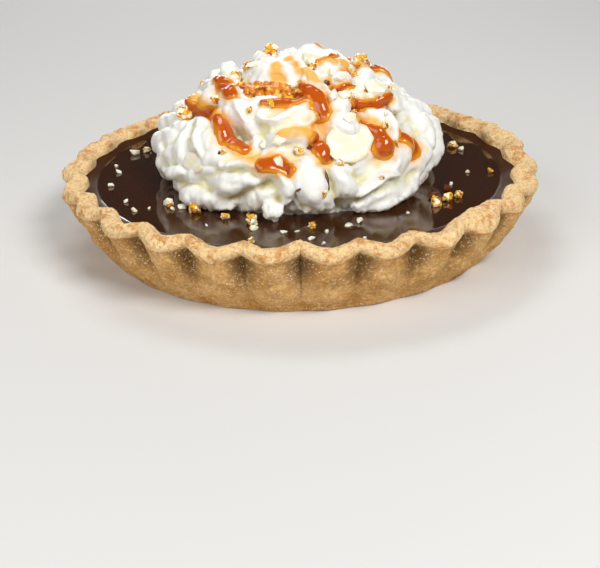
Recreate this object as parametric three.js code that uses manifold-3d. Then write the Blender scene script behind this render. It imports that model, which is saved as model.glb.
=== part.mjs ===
// Chocolate tart: a fluted shortcrust shell, dark chocolate filling and a mound of piped cream
// with caramel, chopped brittle and flaked almonds.
// Millimetres, +Z up. The origin is the middle of the flat underside. The front looks along -Y.
// Bearings are degrees round the tart from the front, positive to the right.
import * as THREE from "three";
import { mergeVertices } from "three/addons/utils/BufferGeometryUtils.js";
import Module from "manifold-3d";

const wasm = await Module();
wasm.setup();

// Driving sizes
const GAP = 0.3;
const RIM_RADIUS = 60;
const FOOT_RADIUS = 50.6;
const RIM_HEIGHT = 18.7;
const LIP_WIDTH = 6;
const LIP_DEPTH = 3.4;
const LIP_OVERHANG = 0.6;
const FLOOR_THICKNESS = 4;
const FILLING_LEVEL = 15.4;
const FLUTE_COUNT = 25;
const FLUTE_DEPTH = 4;
const FLUTE_CROWDING = 7;
const CREAM_RADIUS = 37;
const CREAM_HEIGHT = 29.5;
const CREAM_BASE = FILLING_LEVEL + GAP;

const PASTRY = { color: 0xcf9f62, roughness: 0.85, metalness: 0 };
const CHOCOLATE = { color: 0x2a130b, roughness: 0.12, metalness: 0 };
const CREAM = { color: 0xfdf9ec, roughness: 0.5, metalness: 0 };
const BRITTLE = { color: 0xd98a1e, roughness: 0.25, metalness: 0 };
const ALMOND = { color: 0xf3e3bf, roughness: 0.5, metalness: 0 };

const radians = THREE.MathUtils.degToRad;

// Repeatable random numbers from 0 to 1
function seededRandom(seed) {
  let state = seed;
  return () => {
    state = (Math.imul(state, 1664525) + 1013904223) >>> 0;
    return state / 4294967296;
  };
}

// Solids and meshes

function toSolid(geometry) {
  const bare = geometry.clone();
  bare.deleteAttribute("normal");
  bare.deleteAttribute("uv");
  const merged = mergeVertices(bare, 1e-5);
  return new wasm.Manifold(new wasm.Mesh({
    numProp: 3,
    vertProperties: new Float32Array(merged.attributes.position.array),
    triVerts: new Uint32Array(merged.index.array),
  }));
}

function toGeometry(solid) {
  const mesh = solid.getMesh();
  const geometry = new THREE.BufferGeometry();
  geometry.setAttribute("position", new THREE.BufferAttribute(new Float32Array(mesh.vertProperties), 3));
  geometry.setIndex(new THREE.BufferAttribute(new Uint32Array(mesh.triVerts), 1));
  geometry.computeVertexNormals();
  return geometry;
}

function largestBody(solid) {
  return solid.decompose().reduce((best, next) => (next.volume() > best.volume() ? next : best));
}

function namedMesh(name, geometry, finish) {
  const mesh = new THREE.Mesh(geometry, new THREE.MeshStandardMaterial(finish));
  mesh.name = name;
  return mesh;
}

// Fluted shell

// Where a bearing falls in its flute, from 0 at one groove to 1 at the next.
// The flutes stand a little closer together at the front than at the back.
function fluteShare(bearing) {
  const turned = bearing + FLUTE_CROWDING * Math.sin(radians(bearing));
  const share = (turned * FLUTE_COUNT) / 360;
  return share - Math.floor(share);
}

// Where each flute is sampled, closest together at its grooves, and the bearing of a sample
const FLUTE_SAMPLES = [0, 0.08, 0.27, 0.5, 0.73, 0.92];
const SAMPLE_COUNT = FLUTE_COUNT * FLUTE_SAMPLES.length;

function sampleBearing(index) {
  const flute = Math.floor(index / FLUTE_SAMPLES.length) + FLUTE_SAMPLES[index % FLUTE_SAMPLES.length];
  const turned = (flute * 360) / FLUTE_COUNT;
  let bearing = turned;
  for (let pass = 0; pass < 8; pass += 1) bearing = turned - FLUTE_CROWDING * Math.sin(radians(bearing));
  return bearing;
}

// 1 in a groove, 0 on the crown of a lobe
const sharpGroove = (share) => 1 - Math.pow(Math.sin(Math.PI * share), 0.62);
const softGroove = (share) => 0.5 + 0.5 * Math.cos(2 * Math.PI * share);

// Hand-pressed unevenness round the shell
function unevenness(bearing, height) {
  const turn = radians(bearing);
  return 0.16 * Math.sin(9 * turn + 0.5 * height) + 0.13 * Math.sin(23 * turn - 0.8 * height + 1)
    + 0.11 * Math.sin(41 * turn + 1.3 * height + 2);
}

const planShift = (bearing) => 0.5 * Math.sin(radians(bearing)) - 0.3 * Math.cos(2 * radians(bearing));

function rimLift(bearing) {
  const turn = radians(bearing);
  return 0.3 * Math.sin(2 * turn + 2.6) + 0.25 * Math.sin(7 * turn + 1) + 0.2 * Math.sin(13 * turn + 2.4)
    - 0.3 * Math.cos(turn) - 0.35 * softGroove(fluteShare(bearing));
}

// A curl of torn dough stands on the rim at the right of the front.
const CURL = { bearing: 45, spread: 4, inward: 2.6, lift: 1.7 };
const curlShare = (bearing) => Math.exp(-Math.pow((bearing - CURL.bearing) / CURL.spread, 2));

// Half-section of the shell: radius and height on a lobe's crown, how far a groove pulls it in,
// how sharp that groove is, and how much of the rim's lift and curl it takes.
function shellStations() {
  const lipUnder = RIM_HEIGHT - LIP_DEPTH;
  const wallTop = RIM_RADIUS - LIP_OVERHANG;
  const lean = (share) => FOOT_RADIUS + (wallTop - FOOT_RADIUS) * share;
  const inner = RIM_RADIUS - LIP_WIDTH;
  return [
    { radius: 0, height: 0, groove: 0, sharp: 1, rim: 0, curl: 0 },
    { radius: FOOT_RADIUS - 1.2, height: 0, groove: 0.05, sharp: 1, rim: 0, curl: 0 },
    { radius: FOOT_RADIUS, height: 0.9, groove: 0.15, sharp: 0.4, rim: 0, curl: 0 },
    { radius: lean(0.42), height: lipUnder * 0.34, groove: 0.45, sharp: 0.6, rim: 0, curl: 0 },
    { radius: lean(0.76), height: lipUnder * 0.68, groove: 0.8, sharp: 0.8, rim: 0.2, curl: 0 },
    { radius: wallTop, height: lipUnder, groove: 1, sharp: 0.8, rim: 0.7, curl: 0 },
    { radius: RIM_RADIUS, height: RIM_HEIGHT - 0.5 * LIP_DEPTH, groove: 0.97, sharp: 0.7, rim: 1, curl: 0.1 },
    { radius: RIM_RADIUS - 0.6, height: RIM_HEIGHT - 0.5, groove: 0.92, sharp: 0.6, rim: 1, curl: 0.3 },
    { radius: RIM_RADIUS - 1.7, height: RIM_HEIGHT, groove: 0.8, sharp: 0.5, rim: 1, curl: 0.6 },
    { radius: RIM_RADIUS - 3.8, height: RIM_HEIGHT - 0.8, groove: 0.55, sharp: 0.2, rim: 1, curl: 0.9 },
    { radius: inner + 0.4, height: RIM_HEIGHT - 2.3, groove: 0.32, sharp: 0, rim: 0.7, curl: 0.4 },
    { radius: inner - 0.7, height: FILLING_LEVEL - 0.8, groove: 0.2, sharp: 0, rim: 0.1, curl: 0 },
    { radius: inner - 5.5, height: FLOOR_THICKNESS, groove: 0, sharp: 0, rim: 0, curl: 0 },
    { radius: 0, height: FLOOR_THICKNESS, groove: 0, sharp: 0, rim: 0, curl: 0 },
  ];
}

function stationPoint(station, bearing) {
  const share = fluteShare(bearing);
  const depth = sharpGroove(share) * station.sharp + softGroove(share) * (1 - station.sharp);
  const onWall = Math.min(1, station.radius / FOOT_RADIUS);
  const rough = unevenness(bearing, station.height) * Math.min(1, station.groove * 1.5);
  const radius = station.radius + planShift(bearing) * onWall * station.groove + rough
    - FLUTE_DEPTH * station.groove * depth - CURL.inward * station.curl * curlShare(bearing);
  const height = station.height + station.rim * rimLift(bearing)
    + CURL.lift * station.curl * curlShare(bearing);
  return { radius: station.radius === 0 ? 0 : radius, height };
}

// A lathe of `rows` points, each then moved to its place at its own bearing by pointAt(row, bearing)
function unevenLathe(rows, pointAt) {
  const section = rows.map((_, row) => new THREE.Vector2(pointAt(row, 0).radius, pointAt(row, 0).height));
  const geometry = new THREE.LatheGeometry(section, SAMPLE_COUNT);
  const position = geometry.attributes.position;
  for (let turn = 0; turn <= SAMPLE_COUNT; turn += 1) {
    const bearing = sampleBearing(turn % SAMPLE_COUNT);
    const angle = radians(bearing);
    rows.forEach((_, row) => {
      const { radius, height } = pointAt(row, bearing);
      position.setXYZ(turn * rows.length + row, radius * Math.sin(angle), -radius * Math.cos(angle), height);
    });
  }
  return geometry;
}

const SHELL_STATIONS = shellStations();

function makeCrust() {
  return toSolid(unevenLathe(SHELL_STATIONS, (row, bearing) => stationPoint(SHELL_STATIONS[row], bearing)));
}

// Radius of the shell's inner wall at a bearing and a height
function innerRadius(bearing, height) {
  const wall = SHELL_STATIONS.slice(-5, -1).map((station) => stationPoint(station, bearing));
  const below = wall.findIndex((point) => point.height <= height);
  const [high, low] = [wall[below - 1], wall[below]];
  const share = (height - low.height) / (high.height - low.height);
  return low.radius + (high.radius - low.radius) * share;
}

// Filling: it follows the inner wall and climbs it a little at the edge.
const MENISCUS = { rise: 0.8, width: 2.6 };

function makeFilling() {
  const bottom = FLOOR_THICKNESS + GAP;
  const rows = [
    { height: bottom, setback: null },
    { height: bottom, setback: 0 },
    { height: FILLING_LEVEL + MENISCUS.rise, setback: 0 },
    { height: FILLING_LEVEL, setback: MENISCUS.width },
    { height: FILLING_LEVEL, setback: null },
  ];
  return toSolid(unevenLathe(rows, (row, bearing) => {
    const { height, setback } = rows[row];
    const radius = setback === null ? 0 : innerRadius(bearing, height) - 2.6 * GAP - setback;
    return { radius, height };
  }));
}

// Places on the cream

// A point on the mound's dome, at a bearing and a climb from the filling (0) to the top (90)
function domePoint([bearing, climb], inset = 0) {
  const across = (CREAM_RADIUS - inset) * Math.cos(radians(climb));
  return new THREE.Vector3(across * Math.sin(radians(bearing)), -across * Math.cos(radians(bearing)),
    CREAM_BASE + (CREAM_HEIGHT - inset) * Math.sin(radians(climb)));
}

const domeNormal = (place) => outward(domePoint(place));

// The first point of a solid's surface below a place on the dome
function surfaceFinder(solid) {
  const target = new THREE.Mesh(toGeometry(solid));
  const caster = new THREE.Raycaster();
  return (place, inset = 0) => {
    const normal = domeNormal(place);
    caster.set(domePoint(place).addScaledVector(normal, 25), normal.clone().negate());
    const hit = caster.intersectObject(target)[0];
    return hit.point.addScaledVector(normal, -inset);
  };
}

// Piped cream

// Outward direction of the dome through any point in it
function outward(point) {
  return new THREE.Vector3(point.x / CREAM_RADIUS ** 2, point.y / CREAM_RADIUS ** 2,
    (point.z - CREAM_BASE) / CREAM_HEIGHT ** 2).normalize();
}

// A round-ended rope along a path, ridged like cream from a star nozzle. `squash` stretches it
// away from the mound, `lean` tips it over sideways by degrees, `twist` turns its ridges this many
// times on the way, and `bluntness` is how full it stays towards its ends.
const SHORT_STROKE = {
  sides: 8, steps: 6, ridges: 4, ridgeDepth: 0.2, twist: 0.4, squash: 1, lean: 0, bluntness: 3, even: false,
};

function strokeGeometry(path, width, options = {}) {
  const stroke = { ...SHORT_STROKE, ...options };
  const curve = new THREE.CatmullRomCurve3(path);
  const geometry = new THREE.SphereGeometry(1, stroke.sides, stroke.steps);
  const position = geometry.attributes.position;
  for (let row = 0; row <= stroke.steps; row += 1) {
    const share = row / stroke.steps;
    const along = stroke.even ? share : 0.5 - 0.5 * Math.cos(Math.PI * share);
    const centre = curve.getPointAt(along);
    const swell = Math.sqrt(Math.max(0, 1 - Math.pow(Math.abs(2 * along - 1), stroke.bluntness)));
    const tangent = curve.getTangentAt(along);
    const out = outward(centre);
    out.addScaledVector(tangent, -out.dot(tangent)).normalize();
    out.applyAxisAngle(tangent, radians(stroke.lean));
    const side = tangent.clone().cross(out);
    for (let column = 0; column <= stroke.sides; column += 1) {
      const turn = (column % stroke.sides) / stroke.sides;
      const angle = -2 * Math.PI * turn;
      const ridge = Math.abs(Math.cos(Math.PI * stroke.ridges * (turn - stroke.twist * along)));
      const reach = width * swell * (1 - stroke.ridgeDepth * (1 - ridge));
      const point = centre.clone().addScaledVector(out, reach * stroke.squash * Math.cos(angle))
        .addScaledVector(side, reach * Math.sin(angle));
      position.setXYZ(row * (stroke.sides + 1) + column, point.x, point.y, point.z);
    }
  }
  return geometry;
}

// The mound is a rope piped round in a rising spiral, in overlapping half turns: each has a start
// bearing, the ring's radius and height above the filling at its two ends, and the rope's half-width.
const ROPE = { ridges: 5, ridgeDepth: 0.3, pitch: 52, sides: 10, stepLength: 4.5, bluntness: 14, even: true };
const ROPE_TURNS = [
  { from: 20, sweep: 200, radius: [26.4, 29.4], climb: [7.2, 7.2], width: 9 },
  { from: 200, sweep: 200, radius: [29.4, 25.4], climb: [7.2, 7.6], width: 9 },
  { from: 30, sweep: 190, radius: [17.3, 18.3], climb: [16, 16.4], width: 8.6 },
  { from: 205, sweep: 190, radius: [18.3, 16.8], climb: [16.2, 16.8], width: 8.6 },
  { from: 10, sweep: 190, radius: [9, 8], climb: [22, 22.4], width: 7.2 },
  { from: 185, sweep: 190, radius: [8, 7], climb: [22, 22.8], width: 7.2 },
];

function ropeSolid(turn) {
  const count = 12;
  const path = Array.from({ length: count + 1 }, (_, index) => {
    const share = index / count;
    const bearing = radians(turn.from + turn.sweep * share);
    const radius = turn.radius[0] + (turn.radius[1] - turn.radius[0]) * share;
    const climb = turn.climb[0] + (turn.climb[1] - turn.climb[0]) * share;
    return new THREE.Vector3(radius * Math.sin(bearing), -radius * Math.cos(bearing), CREAM_BASE + climb);
  });
  const length = radians(turn.sweep) * turn.radius[0];
  const steps = Math.round(length / ROPE.stepLength);
  return toSolid(strokeGeometry(path, turn.width, { ...ROPE, steps, twist: length / ROPE.pitch }));
}

// Loose folds over the rope: half-width, then their way over the dome as [bearing, climb].
// Their ends dip further into the mound than their middles.
const FOLD_DEPTH = { end: 1.25, middle: 0.8 };
const LOOSE_FOLDS = [
  { width: 5.0, way: [[-72, 34], [-74, 22], [-66, 10]] },
  { width: 5.0, way: [[-60, 40], [-56, 26], [-46, 12]] },
  { width: 4.2, way: [[-47, 44], [-41, 33], [-32, 22]] },
  { width: 3.0, way: [[-58, 5], [-44, 6], [-26, 5]] },
  { width: 1.9, way: [[-31, 7], [-26, 14], [-19, 19], [-13, 23], [-7, 20], [-4, 14], [-6, 7]] },
  { width: 2.3, way: [[-13, 6], [-10, 5], [-7, 3]] },
  { width: 5.8, way: [[1, 30], [6, 15], [8, 3]] },
  { width: 3.9, way: [[13, 28], [17, 17], [18, 9]] },
  { width: 3.6, way: [[24, 10], [33, 11], [46, 10]] },
  { width: 2.6, way: [[20, 4], [38, 5], [60, 5]] },
  { width: 6.4, way: [[84, 44], [74, 28], [62, 10]] },
  { width: 2.8, way: [[-42, 36], [-45, 50], [-32, 51], [-22, 40]] },
  { width: 3.8, way: [[-40, 54], [-20, 52], [4, 51]] },
  { width: 5.0, way: [[-16, 38], [-4, 40], [7, 36]] },
  { width: 3.8, way: [[12, 70], [14, 58], [13, 44]] },
  { width: 4.6, way: [[17, 52], [24, 43], [30, 34]] },
  { width: 4.2, way: [[43, 48], [41, 34], [36, 22]] },
  { width: 3.4, way: [[-82, 48], [-65, 54], [-45, 57]] },
  { width: 3.6, way: [[-58, 66], [-32, 74], [4, 70]] },
  { width: 3.6, way: [[-110, 72], [-50, 86], [8, 78]] },
  { width: 3.0, way: [[39, 73], [77, 75], [100, 68]] },
  { width: 2.8, way: [[50, 62], [66, 60], [82, 62]] },
  { width: 3.0, way: [[33, 58], [47, 52], [62, 48]] },
];

function foldSolid(fold) {
  const last = fold.way.length - 1;
  const path = fold.way.map((place, index) => {
    const end = index === 0 || index === last;
    return domePoint(place, fold.width * (end ? FOLD_DEPTH.end : FOLD_DEPTH.middle));
  });
  return toSolid(strokeGeometry(path, fold.width, { steps: fold.way.length + 2 }));
}

// Thin edges of cream that stand up from the folds and lean over
const LIP = { proud: 1.3, sides: 6, ridges: 2, ridgeDepth: 0.1, twist: 0, bluntness: 3 };
const LIPS = [
  { width: 1.0, squash: 2.6, lean: 30, way: [[-34, 22], [-27, 25], [-21, 26], [-16, 25], [-14, 21]] },
  { width: 1.0, squash: 2.6, lean: 30, way: [[-24, 48], [-14, 46], [-8, 48], [-2, 51], [7, 51]] },
  { width: 1.2, squash: 2.6, lean: 20, way: [[21, 9], [28, 14], [35, 17], [44, 14]] },
  { width: 1.1, squash: 2.6, lean: 0, way: [[3, 63], [10, 68], [18, 63], [23, 53], [27, 45]] },
  { width: 1.1, squash: 2.6, lean: 25, way: [[-51, 40], [-48, 33], [-42, 27], [-36, 23]] },
  { width: 1.0, squash: 2.6, lean: 10, way: [[-53, 60], [-38, 52], [-27, 44]] },
  { width: 0.9, squash: 2.2, lean: 0, way: [[38, 45], [46, 43], [48, 36], [43, 28]] },
  { width: 1.2, squash: 2.6, lean: -20, way: [[48, 47], [62, 47], [78, 40]] },
  { width: 1.2, squash: 2.2, lean: 30, way: [[-70, 13], [-58, 14], [-50, 17], [-42, 16]] },
];

function lipSolid(lip) {
  const path = lip.way.map((place) => domePoint(place, lip.width * lip.squash - LIP.proud));
  const { squash, lean } = lip;
  return toSolid(strokeGeometry(path, lip.width, { ...LIP, steps: lip.way.length + 1, squash, lean }));
}

function makeCreamBody() {
  const core = new THREE.SphereGeometry(1, 15, 8);
  core.rotateX(Math.PI / 2);
  core.scale(CREAM_RADIUS - 6, CREAM_RADIUS - 6, CREAM_HEIGHT - 4.5);
  core.translate(0, 0, CREAM_BASE);
  const above = new THREE.BoxGeometry(4 * CREAM_RADIUS, 4 * CREAM_RADIUS, 4 * CREAM_HEIGHT);
  above.translate(0, 0, CREAM_BASE + 2 * CREAM_HEIGHT);
  const strokes = [...ROPE_TURNS.map(ropeSolid), ...LOOSE_FOLDS.map(foldSolid), ...LIPS.map(lipSolid)];
  const whole = strokes.reduce((body, stroke) => body.add(stroke), toSolid(core));
  return largestBody(whole.intersect(toSolid(above)));
}

// Nuts, brittle and caramel

// An uneven lump or flake, `size` across, deep and thick, with its corners squared by `block`
function lumpGeometry(size, detail, roughness, block, random, grow = 0) {
  const bare = new THREE.IcosahedronGeometry(1, detail);
  bare.deleteAttribute("normal");
  bare.deleteAttribute("uv");
  const geometry = mergeVertices(bare, 1e-4);
  const position = geometry.attributes.position;
  const point = new THREE.Vector3();
  for (let index = 0; index < position.count; index += 1) {
    point.fromBufferAttribute(position, index);
    const sum = Math.abs(point.x) ** block + Math.abs(point.y) ** block + Math.abs(point.z) ** block;
    point.multiplyScalar(Math.pow(sum, -1 / block) * (1 + (random() - 0.5) * roughness));
    position.setXYZ(index, point.x * (size[0] / 2 + grow), point.y * (size[1] / 2 + grow),
      point.z * (size[2] / 2 + grow));
  }
  return geometry;
}

// Lays a lump on the dome: its thickness along the normal, its length turned by `turn` degrees
// from the level direction.
function layOn(geometry, point, normal, turn, tilt = 0) {
  const level = new THREE.Vector3(0, 0, 1).cross(normal).normalize();
  const rise = normal.clone().cross(level);
  const frame = new THREE.Matrix4().makeBasis(level, rise, normal);
  geometry.rotateX(radians(tilt));
  geometry.rotateZ(radians(turn));
  geometry.applyMatrix4(frame);
  geometry.translate(point.x, point.y, point.z);
  return geometry;
}

// Toppings longer than this get a finer mesh
const FINE_FROM = 7;
const TOPPING_SEED = 11;

// Toppings that are pieces of their own: size, place on the dome, how proud they stand, the turn
// of their length, their tilt out of the surface and how square they are.
const LARGE_TOPPINGS = [
  { name: "brittle_shard", finish: BRITTLE, size: [18, 6.4, 2.8],
    place: [-24, 60], proud: 1.1, turn: 2, tilt: 22, block: 3 },
  { name: "almond_flake_large", finish: ALMOND, size: [12.8, 9.6, 1.3],
    place: [24, 34], proud: 0.7, turn: 20, tilt: -4, block: 2 },
  { name: "almond_flake_small", finish: ALMOND, size: [7.4, 4.6, 1.3],
    place: [-45, 21], proud: 0.5, turn: -8, tilt: 0, block: 2 },
  { name: "almond_chunk_right", finish: ALMOND, size: [4.6, 5.2, 3.6],
    place: [55, 53], proud: 1.6, turn: 10, tilt: 0, block: 3.5 },
  { name: "almond_chunk_far_right", finish: ALMOND, size: [4.6, 4, 3.6],
    place: [73, 50], proud: 1.6, turn: 30, tilt: 0, block: 3 },
  { name: "almond_chunk_top", finish: ALMOND, size: [3.6, 4.2, 5],
    place: [100, 84], proud: 1.3, turn: 0, tilt: 0, block: 2.6 },
  { name: "brittle_chunk_peak", finish: BRITTLE, size: [3.4, 3.2, 4.2],
    place: [-120, 79], proud: 1.6, turn: 0, tilt: 0, block: 2.4 },
  { name: "brittle_chunk_left", finish: BRITTLE, size: [4.4, 3.4, 3.4],
    place: [-77, 64], proud: 1.5, turn: 20, tilt: 0, block: 3 },
  { name: "nut_cluster_left", finish: ALMOND, size: [4.8, 4.4, 4.2],
    place: [-77, 38], proud: 1.7, turn: 0, tilt: 0, block: 2.6 },
];

function largeTopping(topping, find, grow) {
  const detail = topping.size[0] > FINE_FROM ? 2 : 1;
  const random = seededRandom(LARGE_TOPPINGS.indexOf(topping) + TOPPING_SEED);
  const lump = lumpGeometry(topping.size, detail, 0.12, topping.block, random, grow);
  const normal = domeNormal(topping.place);
  const point = find(topping.place, -topping.proud);
  return toSolid(layOn(lump, point, normal, topping.turn, topping.tilt));
}

// Small nuts and brittle that lie on the cream: place and size
const SMALL_BITS = [
  [[-72, 70], 2.6], [[95, 65], 3.4], [[67, 64], 2.4], [[0, 33], 2.6], [[-15, 50], 2.6], [[-28, 37], 3.6],
  [[-33, 39], 2.6], [[-8, 27], 3.2], [[29, 52], 3.4], [[26, 44], 3.0], [[44, 48], 3.0], [[40, 37], 2.4],
  [[140, 66], 2.8], [[-165, 66], 3.0], [[165, 48], 2.8],
];

// Thick caramel: half-width and its way over the cream
const RUN_SHAPE = { sides: 6, steps: 4, ridgeDepth: 0, squash: 0.45 };
const CARAMEL_RUNS = [
  { width: 2.6, way: [[-76, 42], [-64, 45], [-53, 46]] },
  { width: 2.3, way: [[-74, 57], [-57, 57], [-42, 54]] },
  { width: 2.6, way: [[-44, 43], [-34, 36], [-25, 33]] },
  { width: 2.4, way: [[-15, 25], [-8, 26], [-2, 23]] },
  { width: 2.6, way: [[5, 64], [12, 56], [14, 47]] },
  { width: 2.5, way: [[7, 41], [9, 34], [11, 28]] },
  { width: 2.8, way: [[34, 42], [37, 34], [37, 27]] },
  { width: 2.6, way: [[51, 37], [50, 29], [55, 22]] },
  { width: 2.4, way: [[150, 74], [140, 60], [138, 46]] },
  { width: 2.4, way: [[-140, 70], [-150, 54], [-152, 38]] },
];

function makeDressedCream(body, find) {
  const random = seededRandom(23);
  const runs = CARAMEL_RUNS.map((run) => {
    const path = run.way.map((place) => find(place, 0.35));
    return toSolid(strokeGeometry(path, run.width, RUN_SHAPE));
  });
  const bits = SMALL_BITS.map(([place, size]) => {
    const lump = lumpGeometry([size * 1.15, size, size * 0.85], 0, 0.3, 2.2, random);
    return toSolid(layOn(lump, find(place, size * 0.08), domeNormal(place), random() * 180));
  });
  const dressed = [...runs, ...bits].reduce((whole, piece) => whole.add(piece), body);
  const pockets = LARGE_TOPPINGS.map((topping) => largeTopping(topping, find, GAP));
  return largestBody(pockets.reduce((whole, pocket) => whole.subtract(pocket), dressed));
}

// Crumbs on the filling: bearing, distance from the middle, size
const FILLING_CRUMBS = [
  [-54, 39.3, 2.8], [-50, 38.6, 2.2], [-41, 36.6, 3.6], [-28, 35.8, 2.4], [-17, 38.6, 2.8], [-15, 41.6, 2.2],
  [-109, 46.5, 2.6], [-113, 44.4, 2.6], [-91, 46.3, 2], [16, 40.3, 2.2], [21, 38.6, 2.0], [50, 42.6, 3.2],
  [56, 43, 2.8], [60, 43.8, 2.2], [66, 41.8, 2.2], [110, 44.3, 3.0], [106, 45.4, 2.0], [135, 46, 2.4],
  [160, 44.5, 2.6], [-150, 45, 2.4],
];

// Moves a crumb outwards along its bearing until it is clear of the cream
function clearCrumb(lump, bearing, distance, height, cream) {
  const turn = radians(bearing);
  const placed = (shape, reach) => {
    const [x, y] = [reach * Math.sin(turn), -reach * Math.cos(turn)];
    return toSolid(shape.clone().translate(x, y, height));
  };
  const grown = lump.clone().scale(1.4, 1.4, 1.4);
  let reach = distance;
  while (!placed(grown, reach).intersect(cream).isEmpty()) reach += 0.4;
  return placed(lump, reach);
}

function makeDressedFilling(body, cream) {
  const random = seededRandom(31);
  const crumbs = FILLING_CRUMBS.map(([bearing, distance, size]) => {
    const lump = lumpGeometry([size * 1.1, size * 0.9, size * 0.8], 0, 0.3, 2.2, random);
    lump.rotateZ(random() * Math.PI);
    return clearCrumb(lump, bearing, distance, FILLING_LEVEL + size * 0.2, cream);
  });
  return crumbs.reduce((whole, crumb) => whole.add(crumb), body);
}

// Assembly

const creamBody = makeCreamBody();
const find = surfaceFinder(creamBody);
const cream = makeDressedCream(creamBody, find);
const filling = makeDressedFilling(makeFilling(), cream);

const tart = new THREE.Group();
tart.name = "chocolate_tart";
tart.add(namedMesh("crust", toGeometry(makeCrust()), PASTRY));
tart.add(namedMesh("chocolate_filling", toGeometry(filling), CHOCOLATE));
tart.add(namedMesh("whipped_cream", toGeometry(cream), CREAM));
LARGE_TOPPINGS.forEach((topping) => {
  tart.add(namedMesh(topping.name, toGeometry(largeTopping(topping, find, 0)), topping.finish));
});

export default tart;
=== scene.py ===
"""Chocolate tart: a fluted shortcrust shell, dark chocolate filling, a mound of piped cream with
caramel, chopped brittle and flaked almonds. Everything is in metres, +Z up, front along -Y.
Bearings are degrees round the tart from the front, positive to the right.
"""

import logging
import math
import random
from dataclasses import dataclass, field
from enum import Enum
from typing import Callable, Iterable, Sequence

import bmesh
import bpy
import numpy as np
from mathutils import Matrix, Vector, noise
from mathutils.bvhtree import BVHTree


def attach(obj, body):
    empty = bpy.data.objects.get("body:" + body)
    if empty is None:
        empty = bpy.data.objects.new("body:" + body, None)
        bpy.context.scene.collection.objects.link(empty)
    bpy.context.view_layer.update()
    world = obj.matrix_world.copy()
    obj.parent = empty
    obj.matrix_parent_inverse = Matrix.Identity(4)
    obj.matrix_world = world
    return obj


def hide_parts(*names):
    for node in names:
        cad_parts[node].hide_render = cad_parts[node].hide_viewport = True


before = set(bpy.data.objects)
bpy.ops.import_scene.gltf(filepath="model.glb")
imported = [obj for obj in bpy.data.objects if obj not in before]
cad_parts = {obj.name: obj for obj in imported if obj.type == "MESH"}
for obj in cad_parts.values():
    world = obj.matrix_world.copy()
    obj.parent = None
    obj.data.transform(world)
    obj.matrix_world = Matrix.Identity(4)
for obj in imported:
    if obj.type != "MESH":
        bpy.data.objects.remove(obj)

LOG = logging.getLogger("tart")
MM = 0.001
ROOT = "root"
Place = tuple[float, float]


class Kind(Enum):
    """Kinds of small topping that lie scattered on the tart."""

    PRALINE = "praline_crumbs"
    NUT = "nut_crumbs"
    SKIN = "nut_skins"


def radians(degrees: float) -> float:
    """Short name for the angle conversion."""
    return math.radians(degrees)


def smooth_path(points: Sequence[Sequence[float]], count: int) -> np.ndarray:
    """Runs a smooth curve through a few points.

    Args:
        points: The points, each with any number of coordinates.
        count: How many evenly spaced points to give back.

    Returns:
        An array of count points along the curve.
    """
    knots = np.array(points, float)
    knots = np.vstack([2 * knots[0] - knots[1], knots, 2 * knots[-1] - knots[-2]])
    share = np.linspace(0, 1, 25)[:-1, None]
    runs = []
    for a, b, c, d in zip(knots, knots[1:], knots[2:], knots[3:]):
        runs.append(0.5 * (2 * b + (c - a) * share + (2 * a - 5 * b + 4 * c - d) * share**2
                           + (3 * b - a - 3 * c + d) * share**3))
    dense = np.vstack(runs + [knots[-2][None]])
    steps = np.linalg.norm(np.diff(dense[:, :3], axis=0), axis=1)
    along = np.concatenate([[0], np.cumsum(steps)])
    even = np.linspace(0, along[-1], count)
    return np.stack([np.interp(even, along, dense[:, k]) for k in range(dense.shape[1])], axis=1)


def object_from(bm: bmesh.types.BMesh, name: str, smooth: bool = True) -> bpy.types.Object:
    """Turns a bmesh into an object at the origin and frees it."""
    bmesh.ops.recalc_face_normals(bm, faces=bm.faces)
    mesh = bpy.data.meshes.new(name)
    bm.to_mesh(mesh)
    bm.free()
    mesh.polygons.foreach_set("use_smooth", [smooth] * len(mesh.polygons))
    piece = bpy.data.objects.new(name, mesh)
    bpy.context.scene.collection.objects.link(piece)
    return piece


def add_to(bm: bmesh.types.BMesh, part: bmesh.types.BMesh) -> None:
    """Moves a finished part into a bmesh and frees it."""
    mesh = bpy.data.meshes.new("part")
    part.to_mesh(mesh)
    part.free()
    bm.from_mesh(mesh)
    bpy.data.meshes.remove(mesh)


def lathed(rows: int, steps: int, place: Callable[[int, float], Vector],
           layers: Sequence[str] = ()) -> bmesh.types.BMesh:
    """Wraps a grid round the upright axis.

    Args:
        rows: How many points the half-section has.
        steps: How many steps go round.
        place: Gives the point of a row at a bearing in degrees, in metres.
        layers: Names of values to keep at each vertex.

    Returns:
        The closed skin, with its seam and its two middles merged.
    """
    bm = bmesh.new()
    for name in layers:
        bm.verts.layers.float.new(name)
    bmesh.ops.create_grid(bm, x_segments=steps, y_segments=rows - 1, size=1)
    spots = [(round((vert.co.y + 1) / 2 * (rows - 1)), 180 * vert.co.x) for vert in bm.verts]
    for vert, (row, bearing) in zip(bm.verts, spots):
        vert.co = place(row, bearing)
    bmesh.ops.remove_doubles(bm, verts=bm.verts, dist=1e-7)
    return bm


def voxelled(bm: bmesh.types.BMesh, name: str, voxel: float) -> bmesh.types.BMesh:
    """Fuses overlapping closed shells into one skin.

    Args:
        bm: The shells, which are used up.
        name: Name of the passing object.
        voxel: Edge of the voxels, in metres.

    Returns:
        The fused skin as a new bmesh.
    """
    piece = object_from(bm, name)
    remesh = piece.modifiers.new("Fuse", "REMESH")
    remesh.mode = "VOXEL"
    remesh.voxel_size = voxel
    graph = bpy.context.evaluated_depsgraph_get()
    mesh = bpy.data.meshes.new_from_object(piece.evaluated_get(graph))
    fused = bmesh.new()
    fused.from_mesh(mesh)
    bpy.data.objects.remove(piece)
    bpy.data.meshes.remove(mesh)
    return fused


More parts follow.
